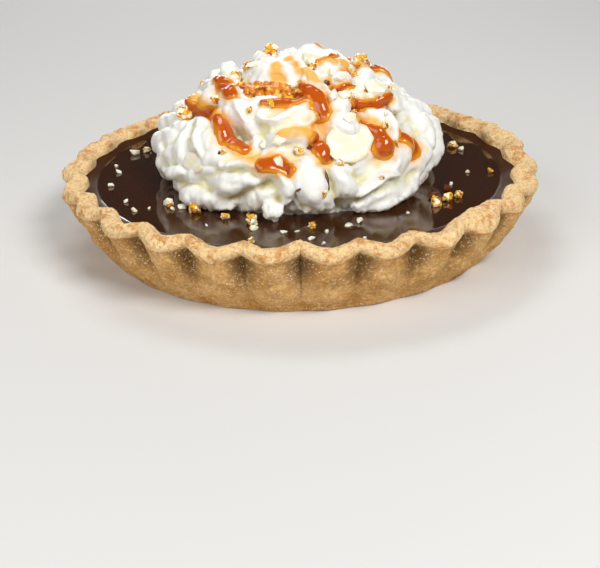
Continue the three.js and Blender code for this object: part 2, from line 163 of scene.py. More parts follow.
def report(piece: bpy.types.Object, slot: str, *nodes: str) -> bpy.types.Object:
    """Rides a finished piece on the tart, hides the imported parts it stands for and logs it."""
    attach(piece, ROOT)
    if nodes:
        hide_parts(*nodes)
    LOG.info("%s: %d faces", piece.name, len(piece.data.polygons))
    return piece


@dataclass(frozen=True)
class Dome:
    """The mound's round envelope, on which folds and toppings have their places."""

    radius: float = 37 * MM
    height: float = 29.5 * MM
    base: float = 15.7 * MM

    def point(self, place: Place, inset: float = 0) -> Vector:
        """A point at (bearing, climb), with climb 0 at the filling and 90 at the top."""
        across = (self.radius - inset) * math.cos(radians(place[1]))
        rise = (self.height - inset) * math.sin(radians(place[1]))
        bearing = radians(place[0])
        return Vector((across * math.sin(bearing), -across * math.cos(bearing), self.base + rise))

    def outward(self, point: Sequence[float]) -> Vector:
        """The dome's outward direction through a point."""
        x, y, z = point
        return Vector((x / self.radius**2, y / self.radius**2,
                       (z - self.base) / self.height**2)).normalized()


DOME = Dome()


@dataclass
class Stroke:
    """A round-ended rope of cream along a path, ridged by a star nozzle."""

    path: Sequence[Vector]
    width: float
    ridges: int = 4
    ridge_depth: float = 0.2
    twist: float = 0.4
    squash: float = 1.0
    lean: float = 0
    blunt: int = 3
    fine: float = 0.02
    sides: int = 40
    rows: int = 36

    def shape(self, bm: bmesh.types.BMesh) -> None:
        """Bends a sphere along the path and adds it to the bmesh."""
        own = bmesh.new()
        bmesh.ops.create_uvsphere(own, u_segments=self.sides, v_segments=self.rows, radius=1)
        ball = np.array([v.co for v in own.verts])
        share = np.arccos(np.clip(ball[:, 2], -1, 1)) / math.pi
        angle = np.arctan2(ball[:, 1], ball[:, 0])
        along = share if self.blunt > 3 else 0.5 - 0.5 * np.cos(math.pi * share)
        line = smooth_path(self.path, 200)
        centre = np.stack([np.interp(along * 199, np.arange(200), line[:, k]) for k in range(3)], 1)
        slope = np.gradient(line, axis=0)
        tangent = np.stack([np.interp(along * 199, np.arange(200), slope[:, k]) for k in range(3)], 1)
        tangent /= np.linalg.norm(tangent, axis=1)[:, None]
        size = np.array([DOME.radius, DOME.radius, DOME.height])
        out = (centre - [0, 0, DOME.base]) / size**2
        out /= np.linalg.norm(out, axis=1)[:, None]
        out -= tangent * np.sum(out * tangent, axis=1)[:, None]
        out /= np.linalg.norm(out, axis=1)[:, None]
        side = np.cross(tangent, out)
        tip, roll = math.sin(radians(self.lean)), math.cos(radians(self.lean))
        out, side = out * roll + side * tip, side * roll - out * tip
        swell = np.sqrt(np.clip(1 - np.abs(2 * along - 1)**(14 if self.blunt > 3 else 3), 0, 1))
        turned = angle + 2 * math.pi * self.twist * along
        ridge = np.abs(np.cos(self.ridges * turned / 2))
        fine = np.abs(np.cos(self.ridges * 4 * turned / 2))
        reach = self.width * swell * (1 - self.ridge_depth * (1 - ridge) + self.fine * (fine - 0.5))
        moved = (centre + out * (reach * self.squash * np.cos(angle))[:, None]
                 + side * (reach * np.sin(angle))[:, None])
        for vert, place in zip(own.verts, moved):
            vert.co = place
        add_to(bm, own)


# Shell

@dataclass(frozen=True)
class Station:
    """A point of the shell's half-section, in millimetres on a lobe's crown: how far a groove
    pulls it in, how sharp that groove is, and its share of the rim's lift and curl."""

    radius: float
    height: float
    groove: float = 0
    sharp: float = 0
    rim: float = 0
    curl: float = 0


@dataclass
class Shell:
    """The fluted shortcrust shell. Sizes are in millimetres."""

    rim_radius: float = 60
    foot_radius: float = 50.6
    rim_height: float = 18.7
    lip_width: float = 6
    lip_depth: float = 3.4
    overhang: float = 0.6
    floor: float = 4
    filling_level: float = 15.4
    flutes: int = 25
    flute_depth: float = 4
    crowding: float = 7
    curl_bearing: float = 45
    curl_spread: float = 4
    curl_inward: float = 2.6
    curl_lift: float = 1.7
    pinch: float = 1.0
    steps: int = 860
    rows: int = 104

    def stations(self) -> list[Station]:
        """The half-section from the middle of the underside round to the middle of the floor."""
        under = self.rim_height - self.lip_depth
        wall = self.rim_radius - self.overhang
        inner = self.rim_radius - self.lip_width

        def lean(share: float) -> float:
            """Radius of the wall part of the way up."""
            return self.foot_radius + (wall - self.foot_radius) * share

        top = self.rim_height
        return [
            Station(0, 0),
            Station(self.foot_radius - 1.2, 0, 0.05, 1),
            Station(self.foot_radius - 0.2, 0.25, 0.1, 0.6),
            Station(self.foot_radius + 0.4, 1.2, 0.2, 0.5),
            Station(lean(0.42), under * 0.34, 0.56, 0.7),
            Station(lean(0.76), under * 0.68, 0.92, 0.8, 0.2),
            Station(wall - 0.4, under - 0.8, 1.08, 0.85, 0.5),
            Station(wall, under, 1, 0.8, 0.7),
            Station(self.rim_radius, top - 0.6 * self.lip_depth, 0.72, 0.65, 1, 0.1),
            Station(self.rim_radius - 0.5, top - 0.5, 0.7, 0.65, 1, 0.3),
            Station(self.rim_radius - 1.6, top, 0.66, 0.6, 1, 0.6),
            Station(self.rim_radius - 3.6, top - 0.5, 0.56, 0.45, 1, 0.9),
            Station(self.rim_radius - 5.0, top - 1.3, 0.42, 0, 0.9, 0.7),
            Station(inner + 0.4, top - 2.3, 0.32, 0, 0.7, 0.4),
            Station(inner - 0.7, self.filling_level - 0.8, 0.2, 0, 0.1),
            Station(inner - 5.5, self.floor),
            Station(0, self.floor),
        ]

    def flute_share(self, bearing: float) -> float:
        """Where a bearing falls in its flute, from 0 at one groove to 1 at the next."""
        turned = bearing + self.crowding * math.sin(radians(bearing))
        return (turned * self.flutes / 360) % 1

    def groove(self, bearing: float, sharp: float) -> float:
        """1 in a groove and 0 on a lobe's crown, crisp or wavy."""
        share = self.flute_share(bearing)
        crisp = 1 - math.sin(math.pi * share)**0.62
        wavy = 0.5 + 0.5 * math.cos(2 * math.pi * share)
        return crisp * sharp + wavy * (1 - sharp)

    def rim_lift(self, bearing: float) -> float:
        """Unevenness of the rim's height, in millimetres."""
        turn = radians(bearing)
        return (0.3 * math.sin(2 * turn + 2.6) + 0.25 * math.sin(7 * turn + 1)
                + 0.2 * math.sin(13 * turn + 2.4) - 0.3 * math.cos(turn) - 0.35
                + self.pinch * self.groove(bearing, 0.2))

    def place(self, station: Station, bearing: float) -> tuple[float, float]:
        """Radius and height of a station at a bearing, in millimetres."""
        turn = radians(bearing)
        uneven = (0.16 * math.sin(9 * turn + 0.5 * station.height)
                  + 0.13 * math.sin(23 * turn - 0.8 * station.height + 1)
                  + 0.11 * math.sin(41 * turn + 1.3 * station.height + 2))
        plan = 0.5 * math.sin(turn) - 0.3 * math.cos(2 * turn)
        curl = station.curl * math.exp(-((bearing - self.curl_bearing) / self.curl_spread)**2)
        radius = (station.radius + plan * min(1, station.radius / self.foot_radius) * station.groove
                  + uneven * min(1, station.groove * 1.5)
                  - self.flute_depth * station.groove * self.groove(bearing, station.sharp)
                  - self.curl_inward * curl)
        height = station.height + station.rim * self.rim_lift(bearing) + self.curl_lift * curl
        return (radius if station.radius > 0 else 0), height

    def inner_radii(self, bearing: float, heights: Sequence[float]) -> Sequence[float]:
        """Radii of the inner wall at a bearing and some heights, in millimetres."""
        wall = [self.place(station, bearing) for station in reversed(self.stations()[-6:-1])]
        return np.interp(heights, [h for _, h in wall], [r for r, _ in wall])

    def build(self) -> bpy.types.Object:
        """Spins the half-section, then moves each vertex to its fluted place.

        Returns:
            The crust, with a groove value that places painted shade in the grooves, strongest just under the rim
            and faint at the foot, and how far up the lip each point is.
        """
        table = [[s.radius, s.height, 0, s.groove, s.sharp, s.rim, s.curl] for s in self.stations()]
        rows = smooth_path(table[1:-1], self.rows - 2)
        rows = np.vstack([table[0], rows, table[-1]])
        rows[:, 1] = np.clip(rows[:, 1], 0, None)
        section = [Station(row[0], row[1], *row[3:]) for row in rows]
        steps = self.steps
        bm = lathed(self.rows, steps, lambda row, bearing: self.skin(section[row], bearing))
        groove, lip = (bm.verts.layers.float.new(name) for name in ("groove", "lip"))
        for vert in bm.verts:
            x, y, z = vert.co / MM
            bearing = math.degrees(math.atan2(x, -y))
            z -= self.rim_lift(bearing)
            outside = math.hypot(x, y) > self.foot_radius - 5
            # painted shade: how strongly the grooves are shaded at each height, strongest just under the rim
            groove_shade_fade = float(np.interp(z, (2, 9, 14, 15.5, 17, 18.5), (0.05, 0.5, 1, 0.9, 0.35, 0.15)))
            vert[groove] = self.groove(bearing, 0.45) * groove_shade_fade * outside
            vert[lip] = min(1, max(0, (z - 15) / 0.9))
        return object_from(bm, "shortcrust_shell")

    def skin(self, station: Station, bearing: float) -> Vector:
        """The baked skin's point on a station at a bearing, in metres."""
        radius, height = self.place(station, bearing)
        turn = radians(bearing)
        spot = Vector((radius * math.sin(turn), -radius * math.cos(turn), height))
        return self.crumbled(spot, radius, station) * MM

    def crumbled(self, spot: Vector, radius: float, station: Station) -> Vector:
        """Moves a point of the skin by the crumb of the baked dough, in millimetres."""
        if radius < self.foot_radius * 0.9 or (station.height < 0.5 and station.groove < 0.12):
            return spot
        lip = min(1, station.rim * 1.3)
        rough = ((0.16 + 0.2 * lip) * noise.fractal(spot * 0.36, 0.7, 2.1, 4)
                 + (0.1 + 0.08 * lip) * noise.noise(spot * 1.1) + 0.09 * noise.noise(spot * 2.1))
        pits = max(0, noise.noise(spot * 0.8 + Vector((7, 3, 1))) - 0.25) * -0.9
        flat = Vector((spot.x, spot.y, 0)).normalized()
        outside = 1 if station.radius > self.rim_radius - 3 or station.height < 14 else 0
        lifted = flat * (1 if outside else 0.3) + Vector((0, 0, 1)) * min(1, station.rim)
        return spot + lifted.normalized() * (rough + pits)


@dataclass
class Filling:
    """The dark filling. Outside a smooth ring it climbs the shell's wavy inner wall. Millimetres."""

    shell: Shell
    rise: float = 0.8
    ring: float = 51.2
    bead: float = 0.05
    steps: int = 480

    def build(self) -> bpy.types.Object:
        """Spins a flat disc, its bead and its climb up the shell's inner wall.

        Returns:
            The filling, with how far outside its ring each point is.
        """
        level = self.shell.filling_level
        bottom = self.shell.floor + 0.3
        rows = [(0, bottom), (2, bottom), (2, level - 1)]
        rows += [(2 - share, level + self.rise * (1 - share)**1.7) for share in np.linspace(0, 1, 14)]
        rows += [(share, level) for share in (0.997, 0.994, 0.99, 0.985, 0.98, *np.linspace(0.96, 0, 50))]
        heights = sorted({height for _, height in rows})

        def place(row: int, bearing: float) -> Vector:
            """The filling's point on a row at a bearing, in metres."""
            share, height = rows[row]
            if bearing not in walls:
                walls[bearing] = dict(zip(heights, self.shell.inner_radii(bearing, heights)))
            turn = radians(bearing)
            ring = self.ring + 0.5 * math.sin(turn) + 0.25 * math.sin(3 * turn + 1) + 0.15 * math.sin(8 * turn)
            radius = ring * share if share <= 1 else ring + (walls[bearing][height] + 0.12 - ring) * (share - 1)
            spot = Vector((radius * math.sin(turn), -radius * math.cos(turn), height))
            if height >= level:
                spot.z += 0.06 * noise.noise(spot * 0.08) + self.bead * math.exp(-((radius - ring) / 0.35)**2)
            return spot * MM

        walls: dict[float, dict[float, float]] = {}
        bm = lathed(len(rows), self.steps, place)
        edge = bm.verts.layers.float.new("edge")
        for vert in bm.verts:
            out = math.hypot(vert.co.x, vert.co.y) / MM - self.ring
            vert[edge] = min(1, max(0, (out + 0.3) / 1.0))
        return object_from(bm, "chocolate_surface")


# Cream

@dataclass
class Turn:
    """Half a turn of the piped rope, in millimetres and degrees."""

    start: float
    sweep: float
    radius: tuple[float, float]
    climb: tuple[float, float]
    width: float


@dataclass
class Fold:
    """A loose fold of cream: half-width in millimetres and its way over the dome."""

    width: float
    way: Sequence[Place]


@dataclass
class Lump:
    """A small round lump of cream: its half-width in millimetres and its place."""

    width: float
    place: Place


@dataclass
class Lip:
    """A thin edge of cream that stands up and leans over."""

    way: Sequence[Place]
    lean: float = 0
    width: float = 1.0
    squash: float = 2.6
    proud: float = 1.3


@dataclass
class Crease:
    """A furrow pressed into the skin: depth and half-width in millimetres and its way."""

    depth: float
    width: float
    way: Sequence[Place]


TURNS = (
    Turn(20, 200, (26.4, 29.4), (7.2, 7.2), 9),
    Turn(200, 200, (29.4, 25.4), (7.2, 7.6), 9),
    Turn(30, 190, (17.3, 18.3), (16, 16.4), 8.6),
    Turn(205, 190, (18.3, 16.8), (16.2, 16.8), 8.6),
    Turn(10, 190, (9, 8), (22, 22.4), 7.2),
    Turn(185, 190, (8, 7), (22, 22.8), 7.2),
)

FOLDS = (
    Fold(5.0, [(-72, 34), (-74, 22), (-66, 10)]),
    Fold(5.0, [(-60, 40), (-56, 26), (-46, 12)]),
    Fold(4.2, [(-47, 44), (-41, 33), (-32, 22)]),
    Fold(3.0, [(-58, 5), (-44, 6), (-26, 5)]),
    Fold(1.9, [(-31, 7), (-26, 14), (-19, 19), (-13, 23), (-7, 20), (-4, 14), (-6, 7)]),
    Fold(2.3, [(-13, 6), (-10, 5), (-7, 3)]),
    Fold(5.8, [(1, 30), (6, 15), (8, 3)]),
    Fold(3.9, [(13, 28), (17, 17), (18, 9)]),
    Fold(3.6, [(24, 10), (33, 11), (46, 10)]),
    Fold(2.6, [(20, 4), (38, 5), (60, 5)]),
    Fold(6.4, [(84, 44), (74, 28), (62, 10)]),
    Fold(2.8, [(-42, 36), (-45, 50), (-32, 51), (-22, 40)]),
    Fold(3.8, [(-40, 54), (-20, 52), (4, 51)]),
    Fold(5.0, [(-16, 38), (-4, 40), (7, 36)]),
    Fold(3.8, [(12, 70), (14, 58), (13, 44)]),
    Fold(4.6, [(17, 52), (24, 43), (30, 34)]),
    Fold(4.2, [(43, 48), (41, 34), (36, 22)]),
    Fold(3.4, [(-82, 48), (-65, 54), (-45, 57)]),
    Fold(3.6, [(-58, 66), (-32, 74), (4, 70)]),
    Fold(3.6, [(-110, 72), (-50, 86), (8, 78)]),
    Fold(3.0, [(39, 73), (77, 75), (100, 68)]),
    Fold(2.8, [(50, 62), (66, 60), (82, 62)]),
    Fold(3.0, [(33, 58), (47, 52), (62, 48)]),
)

LUMPS = (
    Lump(2.6, (83, 73)), Lump(2.5, (97, 64)), Lump(2.4, (52, 75)), Lump(2.6, (44, 65)),
    Lump(2.5, (74, 61)), Lump(2.8, (28, 53)), Lump(2.5, (43, 41)), Lump(2.4, (-64, 60)),
    Lump(2.2, (-80, 56)), Lump(2.4, (-47, 52)), Lump(2.2, (-77, 46)), Lump(2.6, (-56, 37)),
    Lump(2.6, (-90, 15)), Lump(2.3, (-14, 75)), Lump(2.3, (17, 73)), Lump(2.4, (63, 44)),
    Lump(2.6, (80, 35)), Lump(2.4, (4, 46)), Lump(2.3, (-110, 60)), Lump(2.6, (-130, 44)),
    Lump(2.6, (130, 52)), Lump(2.6, (170, 60)), Lump(2.8, (-170, 34)), Lump(2.6, (120, 30)),
)

LIPS = (
    Lip([(-34, 22), (-27, 25), (-21, 26), (-16, 25), (-14, 21)], 30),
    Lip([(-24, 48), (-14, 46), (-8, 48), (-2, 51), (7, 51)], 30),
    Lip([(21, 9), (28, 14), (35, 17), (44, 14)], 20, 1.2),
    Lip([(3, 63), (10, 68), (18, 63), (23, 53), (27, 45)], 0, 1.1),
    Lip([(-51, 40), (-48, 33), (-42, 27), (-36, 23)], 25, 1.1),
    Lip([(-53, 60), (-38, 52), (-27, 44)], 10),
    Lip([(38, 45), (46, 43), (48, 36), (43, 28)], 0, 0.9, 2.2),
    Lip([(48, 47), (62, 47), (78, 40)], -20, 1.2),
    Lip([(-70, 13), (-58, 14), (-50, 17), (-42, 16)], 30, 1.2, 2.2),
)

CREASES = (
    Crease(1.8, 1.2, [(-28, 21), (-21, 23), (-16, 20)]),
    Crease(2.2, 1.5, [(-14, 17), (-9, 16), (-8, 10)]),
    Crease(2.4, 1.6, [(-30, 42), (-28, 40), (-26, 36)]),
    Crease(1.4, 1.5, [(-20, 42), (-8, 43), (4, 46)]),
    Crease(1.5, 1.0, [(-4, 22), (-2, 13), (2, 6)]),
    Crease(1.0, 0.9, [(11, 22), (13, 14), (15, 6)]),
    Crease(1.5, 1.0, [(22, 24), (23, 16), (24, 8)]),
    Crease(1.8, 1.3, [(-58, 37), (-55, 31), (-49, 27), (-43, 22)]),
    Crease(1.3, 1.0, [(-68, 16), (-55, 10), (-45, 11), (-36, 12)]),
    Crease(1.4, 1.2, [(52, 44), (56, 32), (52, 20)]),
    Crease(1.2, 1.0, [(30, 10), (40, 11), (52, 12)]),
)


@dataclass
class Run:
    """A run of caramel over the cream: half-widths in millimetres along its way."""

    widths: Sequence[float]
    way: Sequence[Place]


CARAMEL_RUNS = (
    Run((1.8, 2.6, 2.0), [(-76, 42), (-64, 45), (-53, 46)]),
    Run((1.3, 2.2, 1.6), [(-76, 58), (-57, 57), (-42, 53)]),
    Run((1.5, 2.6, 1.8), [(-44, 43), (-34, 36), (-25, 33)]),
    Run((2.0, 2.4, 1.6), [(-14, 25), (-8, 26), (-3, 23)]),
    Run((1.2, 2.3, 2.4), [(5, 64), (12, 56), (14, 49)]),
    Run((1.6, 2.0, 2.0), [(8, 39), (9, 34), (11, 29)]),
    Run((1.0, 1.8, 3.0), [(34, 42), (37, 34), (37, 28)]),
    Run((1.2, 2.2, 2.8), [(51, 37), (50, 30), (55, 23)]),
    Run((1.2, 2.0, 1.4), [(35, 51), (45, 48), (58, 47)]),
    Run((1.0, 1.5, 1.0), [(28, 63), (40, 60), (52, 57)]),
    Run((1.0, 1.6, 1.0), [(50, 79), (75, 77), (99, 74)]),
    Run((1.0, 1.8, 1.4), [(-20, 52), (-6, 54), (4, 55)]),
    Run((1.4, 2.4, 1.8), [(150, 74), (140, 60), (138, 46)]),
    Run((1.4, 2.4, 2.0), [(-140, 70), (-150, 54), (-152, 38)]),
    Run((1.0, 2.0, 2.2), [(100, 62), (104, 52), (102, 40)]),
)

STAINS = (
    Run((2.0, 3.4, 2.6), [(-30, 75), (-18, 68), (-8, 58)]),
    Run((3.0, 3.6, 3.4), [(-46, 44), (-34, 36), (-18, 28)]),
    Run((2.6, 3.6, 3.2), [(4, 62), (11, 48), (10, 28)]),
    Run((2.0, 3.0, 2.0), [(-8, 38), (4, 40), (10, 34)]),
    Run((2.4, 3.0, 3.2), [(34, 50), (37, 38), (37, 28)]),
    Run((2.4, 3.0, 3.0), [(53, 48), (50, 34), (55, 24)]),
    Run((2.4, 3.4, 2.6), [(-80, 44), (-64, 46), (-50, 44)]),
    Run((2.0, 3.0, 3.0), [(30, 66), (60, 68), (95, 64)]),
    Run((2.0, 2.6, 2.0), [(40, 78), (62, 74), (88, 68)]),
    Run((2.0, 2.6, 2.0), [(18, 64), (34, 60), (54, 54)]),
    Run((2.0, 2.6, 2.0), [(-30, 84), (0, 78), (14, 66)]),
)


def coverage(spots: np.ndarray, runs: Iterable[Run], seat: Callable[[Place], Vector]) -> np.ndarray:
    """How far inside the nearest run each spot lies.

    Args:
        spots: Points on the cream, in metres.
        runs: The runs that may cover them.
        seat: Gives the point of the cream's skin at a place.

    Returns:
        For each spot, up to 1 on a run's middle line and below 0 outside every run.
    """
    best = np.full(len(spots), -9.0)
    for run in runs:
        line = smooth_path([(*seat(place), width * MM) for place, width in zip(run.way, run.widths)], 40)
        for knot in line:
            gap = np.linalg.norm(spots - knot[:3], axis=1)
            best = np.maximum(best, 1 - gap / knot[3])
    return best


@dataclass
class Cream:
    """The mound of piped whipped cream."""

    pitch: float = 52
    voxel: float = 0.42 * MM
    skin: bmesh.types.BMesh | None = None
    tree: BVHTree | None = None

    def strokes(self) -> list[Stroke]:
        """The piped rope's half turns and the loose folds over them."""
        made = []
        for turn in TURNS:
            path = []
            for index in range(13):
                share = index / 12
                bearing = radians(turn.start + turn.sweep * share)
                radius = turn.radius[0] + (turn.radius[1] - turn.radius[0]) * share
                climb = turn.climb[0] + (turn.climb[1] - turn.climb[0]) * share
                path.append(Vector((radius * math.sin(bearing), -radius * math.cos(bearing),
                                    DOME.base / MM + climb)) * MM)
            length = radians(turn.sweep) * turn.radius[0]
            made.append(Stroke(path, turn.width * MM, 5, 0.3, length / self.pitch,
                               blunt=14, sides=72, rows=int(length * 1.6)))
        for fold in FOLDS:
            last = len(fold.way) - 1
            path = [DOME.point(place, fold.width * MM * (1.25 if index in (0, last) else 0.8))
                    for index, place in enumerate(fold.way)]
            made.append(Stroke(path, fold.width * MM, rows=16 * len(fold.way)))
        for lip in LIPS:
            inset = (lip.width * lip.squash - lip.proud) * MM
            path = [DOME.point(place, inset) for place in lip.way]
            made.append(Stroke(path, lip.width * MM, 2, 0.1, 0, lip.squash, lip.lean,
                               rows=16 * len(lip.way)))
        return made

    def build(self) -> bpy.types.Object:
        """Fuses the strokes, roughens their edges and cuts the mound flat where it rests."""
        bm = bmesh.new()
        core = bmesh.ops.create_uvsphere(bm, u_segments=48, v_segments=24, radius=1)["verts"]
        size = (DOME.radius - 6 * MM, DOME.radius - 6 * MM, DOME.height - 4.5 * MM)
        bmesh.ops.scale(bm, vec=size, verts=core)
        bmesh.ops.translate(bm, vec=(0, 0, DOME.base), verts=core)
        for stroke in self.strokes():
            stroke.shape(bm)
        for lump in LUMPS:
            width = lump.width * MM
            point = DOME.point(lump.place, width * 0.45)
            at = lay(point, DOME.outward(point), 20) @ Matrix.Diagonal((1.35, 1, 0.8, 1))
            bmesh.ops.create_icosphere(bm, subdivisions=3, radius=width, matrix=at)
        bm = voxelled(bm, "cream_shells", self.voxel * (1))
        bmesh.ops.smooth_vert(bm, verts=bm.verts, factor=0.5, use_axis_x=True, use_axis_y=True,
                              use_axis_z=True)
        bm.normal_update()
        self.crease(bm)
        self.roughen(bm)
        bmesh.ops.bisect_plane(bm, geom=bm.verts[:] + bm.edges[:] + bm.faces[:], dist=1e-6,
                               plane_co=(0, 0, DOME.base - 0.35 * MM), plane_no=(0, 0, -1), clear_outer=True)
        rim = [edge for edge in bm.edges if edge.is_boundary]
        bmesh.ops.triangulate(bm, faces=bmesh.ops.contextual_create(bm, geom=rim)["faces"])
        bm.normal_update()
        # the hollow value places the painted warm shade in the folds
        self.mark_hollow_shade(bm)
        self.skin = bm.copy()
        self.tree = BVHTree.FromBMesh(self.skin)
        self.stain(bm)
        return object_from(bm, "piped_cream")

    def crease(self, bm: bmesh.types.BMesh) -> None:
        """Presses the furrows between the folds into the skin."""
        tree = BVHTree.FromBMesh(bm)
        spots = np.array([vert.co for vert in bm.verts])
        depth = np.zeros(len(spots))
        for crease in CREASES:
            seats = [self.strike(tree, place) for place in crease.way]
            for knot in smooth_path(seats, 30):
                gap = np.linalg.norm(spots - knot, axis=1) / (crease.width * MM)
                depth = np.maximum(depth, crease.depth * MM * np.exp(-gap**2))
        for vert, value in zip(bm.verts, depth):
            vert.co -= DOME.outward(vert.co) * float(value)
        bm.normal_update()

    def relief(self, bm: bmesh.types.BMesh, reach: int, soften: int) -> np.ndarray:
        """How far the skin lies below its surroundings, in millimetres.

        Args:
            bm: The skin, with its normals up to date.
            reach: How many rings of neighbours count as the surroundings.
            soften: How many rings the result is averaged over.

        Returns:
            For each vertex, above 0 in a fold and below 0 on a crest.
        """
        bm.verts.index_update()
        links = np.array([(edge.verts[0].index, edge.verts[1].index) for edge in bm.edges])
        spots = np.array([vert.co for vert in bm.verts])
        normals = np.array([vert.normal for vert in bm.verts])
        count = np.maximum(np.bincount(links.ravel(), minlength=len(spots)), 1)[:, None]

        def around(values: np.ndarray) -> np.ndarray:
            """Mean of each vertex's neighbours."""
            total = np.zeros_like(values)
            np.add.at(total, links[:, 0], values[links[:, 1]])
            np.add.at(total, links[:, 1], values[links[:, 0]])
            return total / count

        wide = spots
        for _ in range(reach):
            wide = around(wide)
        depth = np.sum((wide - spots) * normals, axis=1)[:, None] / MM
        for _ in range(soften):
            depth = around(depth)
        return depth[:, 0]

    def roughen(self, bm: bmesh.types.BMesh) -> None:
        """Adds waviness, the fine streaks of the piping and torn crests and lower edges."""
        depth = self.relief(bm, 8, 1)
        moves = []
        for vert, hollow in zip(bm.verts, depth):
            spot = vert.co / MM
            bent = spot + 1.6 * noise.noise_vector(spot * 0.12)
            soft = (1.5 * (abs(noise.noise(bent * 0.16)) - 0.22)
                    + 0.55 * (abs(noise.noise(bent * 0.34 + Vector((2, 7, 5)))) - 0.22)
                    + 0.08 * noise.noise(spot * 0.8))
            low = max(0, 1 - (spot.z - DOME.base / MM) / 7)
            crest = min(1, max(0, -hollow * 3 - 0.15))
            bearing = math.degrees(math.atan2(spot.x, -spot.y))
            across = Vector((bearing * 0.5, spot.z * 0.12, math.hypot(spot.x, spot.y) * 0.12))
            streak = noise.noise(across) + 0.6 * noise.noise(across * 2.1 + Vector((4, 4, 4)))
            torn = (0.2 + 0.8 * low) * (0.3 + crest)
            ragged = torn * (0.5 * noise.noise(spot * 0.8 + Vector((3, 9, 2)))
                             + 0.35 * noise.noise(spot * 1.9))
            moves.append(vert.normal * (soft + ragged + streak * (0.07 + 0.5 * low * low + 0.12 * crest)) * MM)
        for vert, move in zip(bm.verts, moves):
            vert.co += move

    def mark_hollow_shade(self, bm: bmesh.types.BMesh) -> None:
        """Keeps how hollow the skin is at each point, for the painted warm shade in the folds."""
        layer = bm.verts.layers.float.new("hollow")
        depth = self.relief(bm, 14, 3) / 0.5 + self.relief(bm, 5, 1) / 0.5
        for vert, value in zip(bm.verts, depth):
            vert[layer] = float(np.clip(value, 0, 1))

    def strike(self, tree: BVHTree, place: Place) -> Vector:
        """The first point of a skin below a place on the dome."""
        normal = DOME.outward(DOME.point(place))
        return tree.ray_cast(DOME.point(place) + normal * 25 * MM, -normal)[0]

    def seat(self, place: Place, sink: float = 0) -> Vector:
        """A point of the finished skin, sunk by a depth in metres."""
        return self.strike(self.tree, place) - DOME.outward(DOME.point(place)) * sink

    def stain(self, bm: bmesh.types.BMesh) -> None:
        """Marks where thin syrup has soaked into the cream."""
        layer = bm.verts.layers.float.new("syrup")
        spots = np.array([v.co for v in bm.verts])
        wider = [Run([width * 1.9 for width in run.widths], run.way) for run in CARAMEL_RUNS]
        inside = np.maximum(coverage(spots, STAINS, self.seat), coverage(spots, wider, self.seat))
        for vert, value in zip(bm.verts, inside):
            blotch = 0.25 * noise.noise(vert.co / MM * 0.5)
            vert[layer] = min(1, max(0, value * 1.1 + blotch))

    def caramel(self) -> bpy.types.Object:
        """Lifts the covered part of the skin into thick caramel with rounded edges.

        Returns:
            The caramel as closed bodies, with its depth kept at each point.
        """
        bm = self.skin.copy()
        layer = bm.verts.layers.float.new("depth")
        inside = coverage(np.array([vert.co for vert in bm.verts]), CARAMEL_RUNS, self.seat)
        for vert, value in zip(bm.verts, inside):
            vert[layer] = float(value) + 0.14 * noise.noise(vert.co / MM * 0.45 + Vector((5, 1, 8)))
        bmesh.ops.delete(bm, geom=[vert for vert in bm.verts if vert[layer] < -0.25], context="VERTS")
        for _ in range(5):
            bmesh.ops.smooth_vert(bm, verts=bm.verts, factor=0.5, use_axis_x=True, use_axis_y=True,
                                  use_axis_z=True)
        bm.normal_update()
        for vert in bm.verts:
            share = min(1, vert[layer])
            swell = math.sqrt(1 - (1 - share)**2) if share > 0 else share * 2.4
            vert.co += vert.normal * (swell * 0.8 + 0.1) * MM
            vert[layer] = max(0, share)
        bmesh.ops.solidify(bm, geom=bm.faces[:], thickness=0.4 * MM)
        for vert in bm.verts:
            below = self.tree.find_nearest(vert.co)[0]
            if (vert.co - below).length > 1.5 * MM:
                vert.co = below
        return object_from(bm, "caramel_drizzle")


# Toppings

@dataclass
class Chopper:
    """Cuts angular pieces of nut and brittle with a seeded draw."""

    random: random.Random

    def chip(self, bm: bmesh.types.BMesh, size: Sequence[float], at: Matrix, rough: float = 0.16,
             square: float = 2.6, detail: int = 2) -> list[bmesh.types.BMVert]:
        """Adds one angular lump.

        Args:
            bm: Gets the lump.
            size: Its three outer sizes, in millimetres.
            at: Where it lies, in metres.
            rough: How far its corners stray.
            square: 2 for a round lump, more for a blocky one.
            detail: Subdivisions of the sphere that it is cut from.

        Returns:
            The vertices of the lump.
        """
        verts = bmesh.ops.create_icosphere(bm, subdivisions=detail, radius=1)["verts"]
        for vert in verts:
            total = sum(abs(value)**square for value in vert.co)
            vert.co *= total**(-1 / square) * self.random.uniform(1 - rough, 1 + rough)
        bmesh.ops.scale(bm, vec=Vector(size) * MM / 2, verts=verts)
        bmesh.ops.transform(bm, matrix=at, verts=verts)
        return verts

    def spin(self) -> Matrix:
        """A random turn in space."""
        axis = Vector([self.random.gauss(0, 1) for _ in range(3)]).normalized()
        return Matrix.Rotation(self.random.uniform(0, 2 * math.pi), 4, axis)

    def cluster(self, bm: bmesh.types.BMesh, size: Sequence[float], at: Matrix, grains: int,
                grain: float) -> None:
        """Adds a knobbly lump: a core with grains sunk half-way into its skin.

        Args:
            bm: Gets the lump.
            size: The lump's three outer sizes, in millimetres.
            at: Where it lies, in metres.
            grains: How many grains stud it.
            grain: Mean size of a grain, in millimetres.
        """
        self.chip(bm, [side * 0.8 for side in size], at, rough=0.14, detail=2)
        for _ in range(grains):
            way = Vector([self.random.gauss(0, 1) for _ in range(3)]).normalized()
            total = sum(abs(value)**2.6 for value in way)**(-1 / 2.6)
            spot = Vector([value * total * (side / 2 - grain * 0.36) for value, side in zip(way, size)])
            width = grain * self.random.uniform(0.65, 1.25)
            sides = [width * self.random.uniform(0.7, 1.2) for _ in range(3)]
            self.chip(bm, sides, at @ Matrix.Translation(spot * MM) @ self.spin(), square=3.2, detail=1)


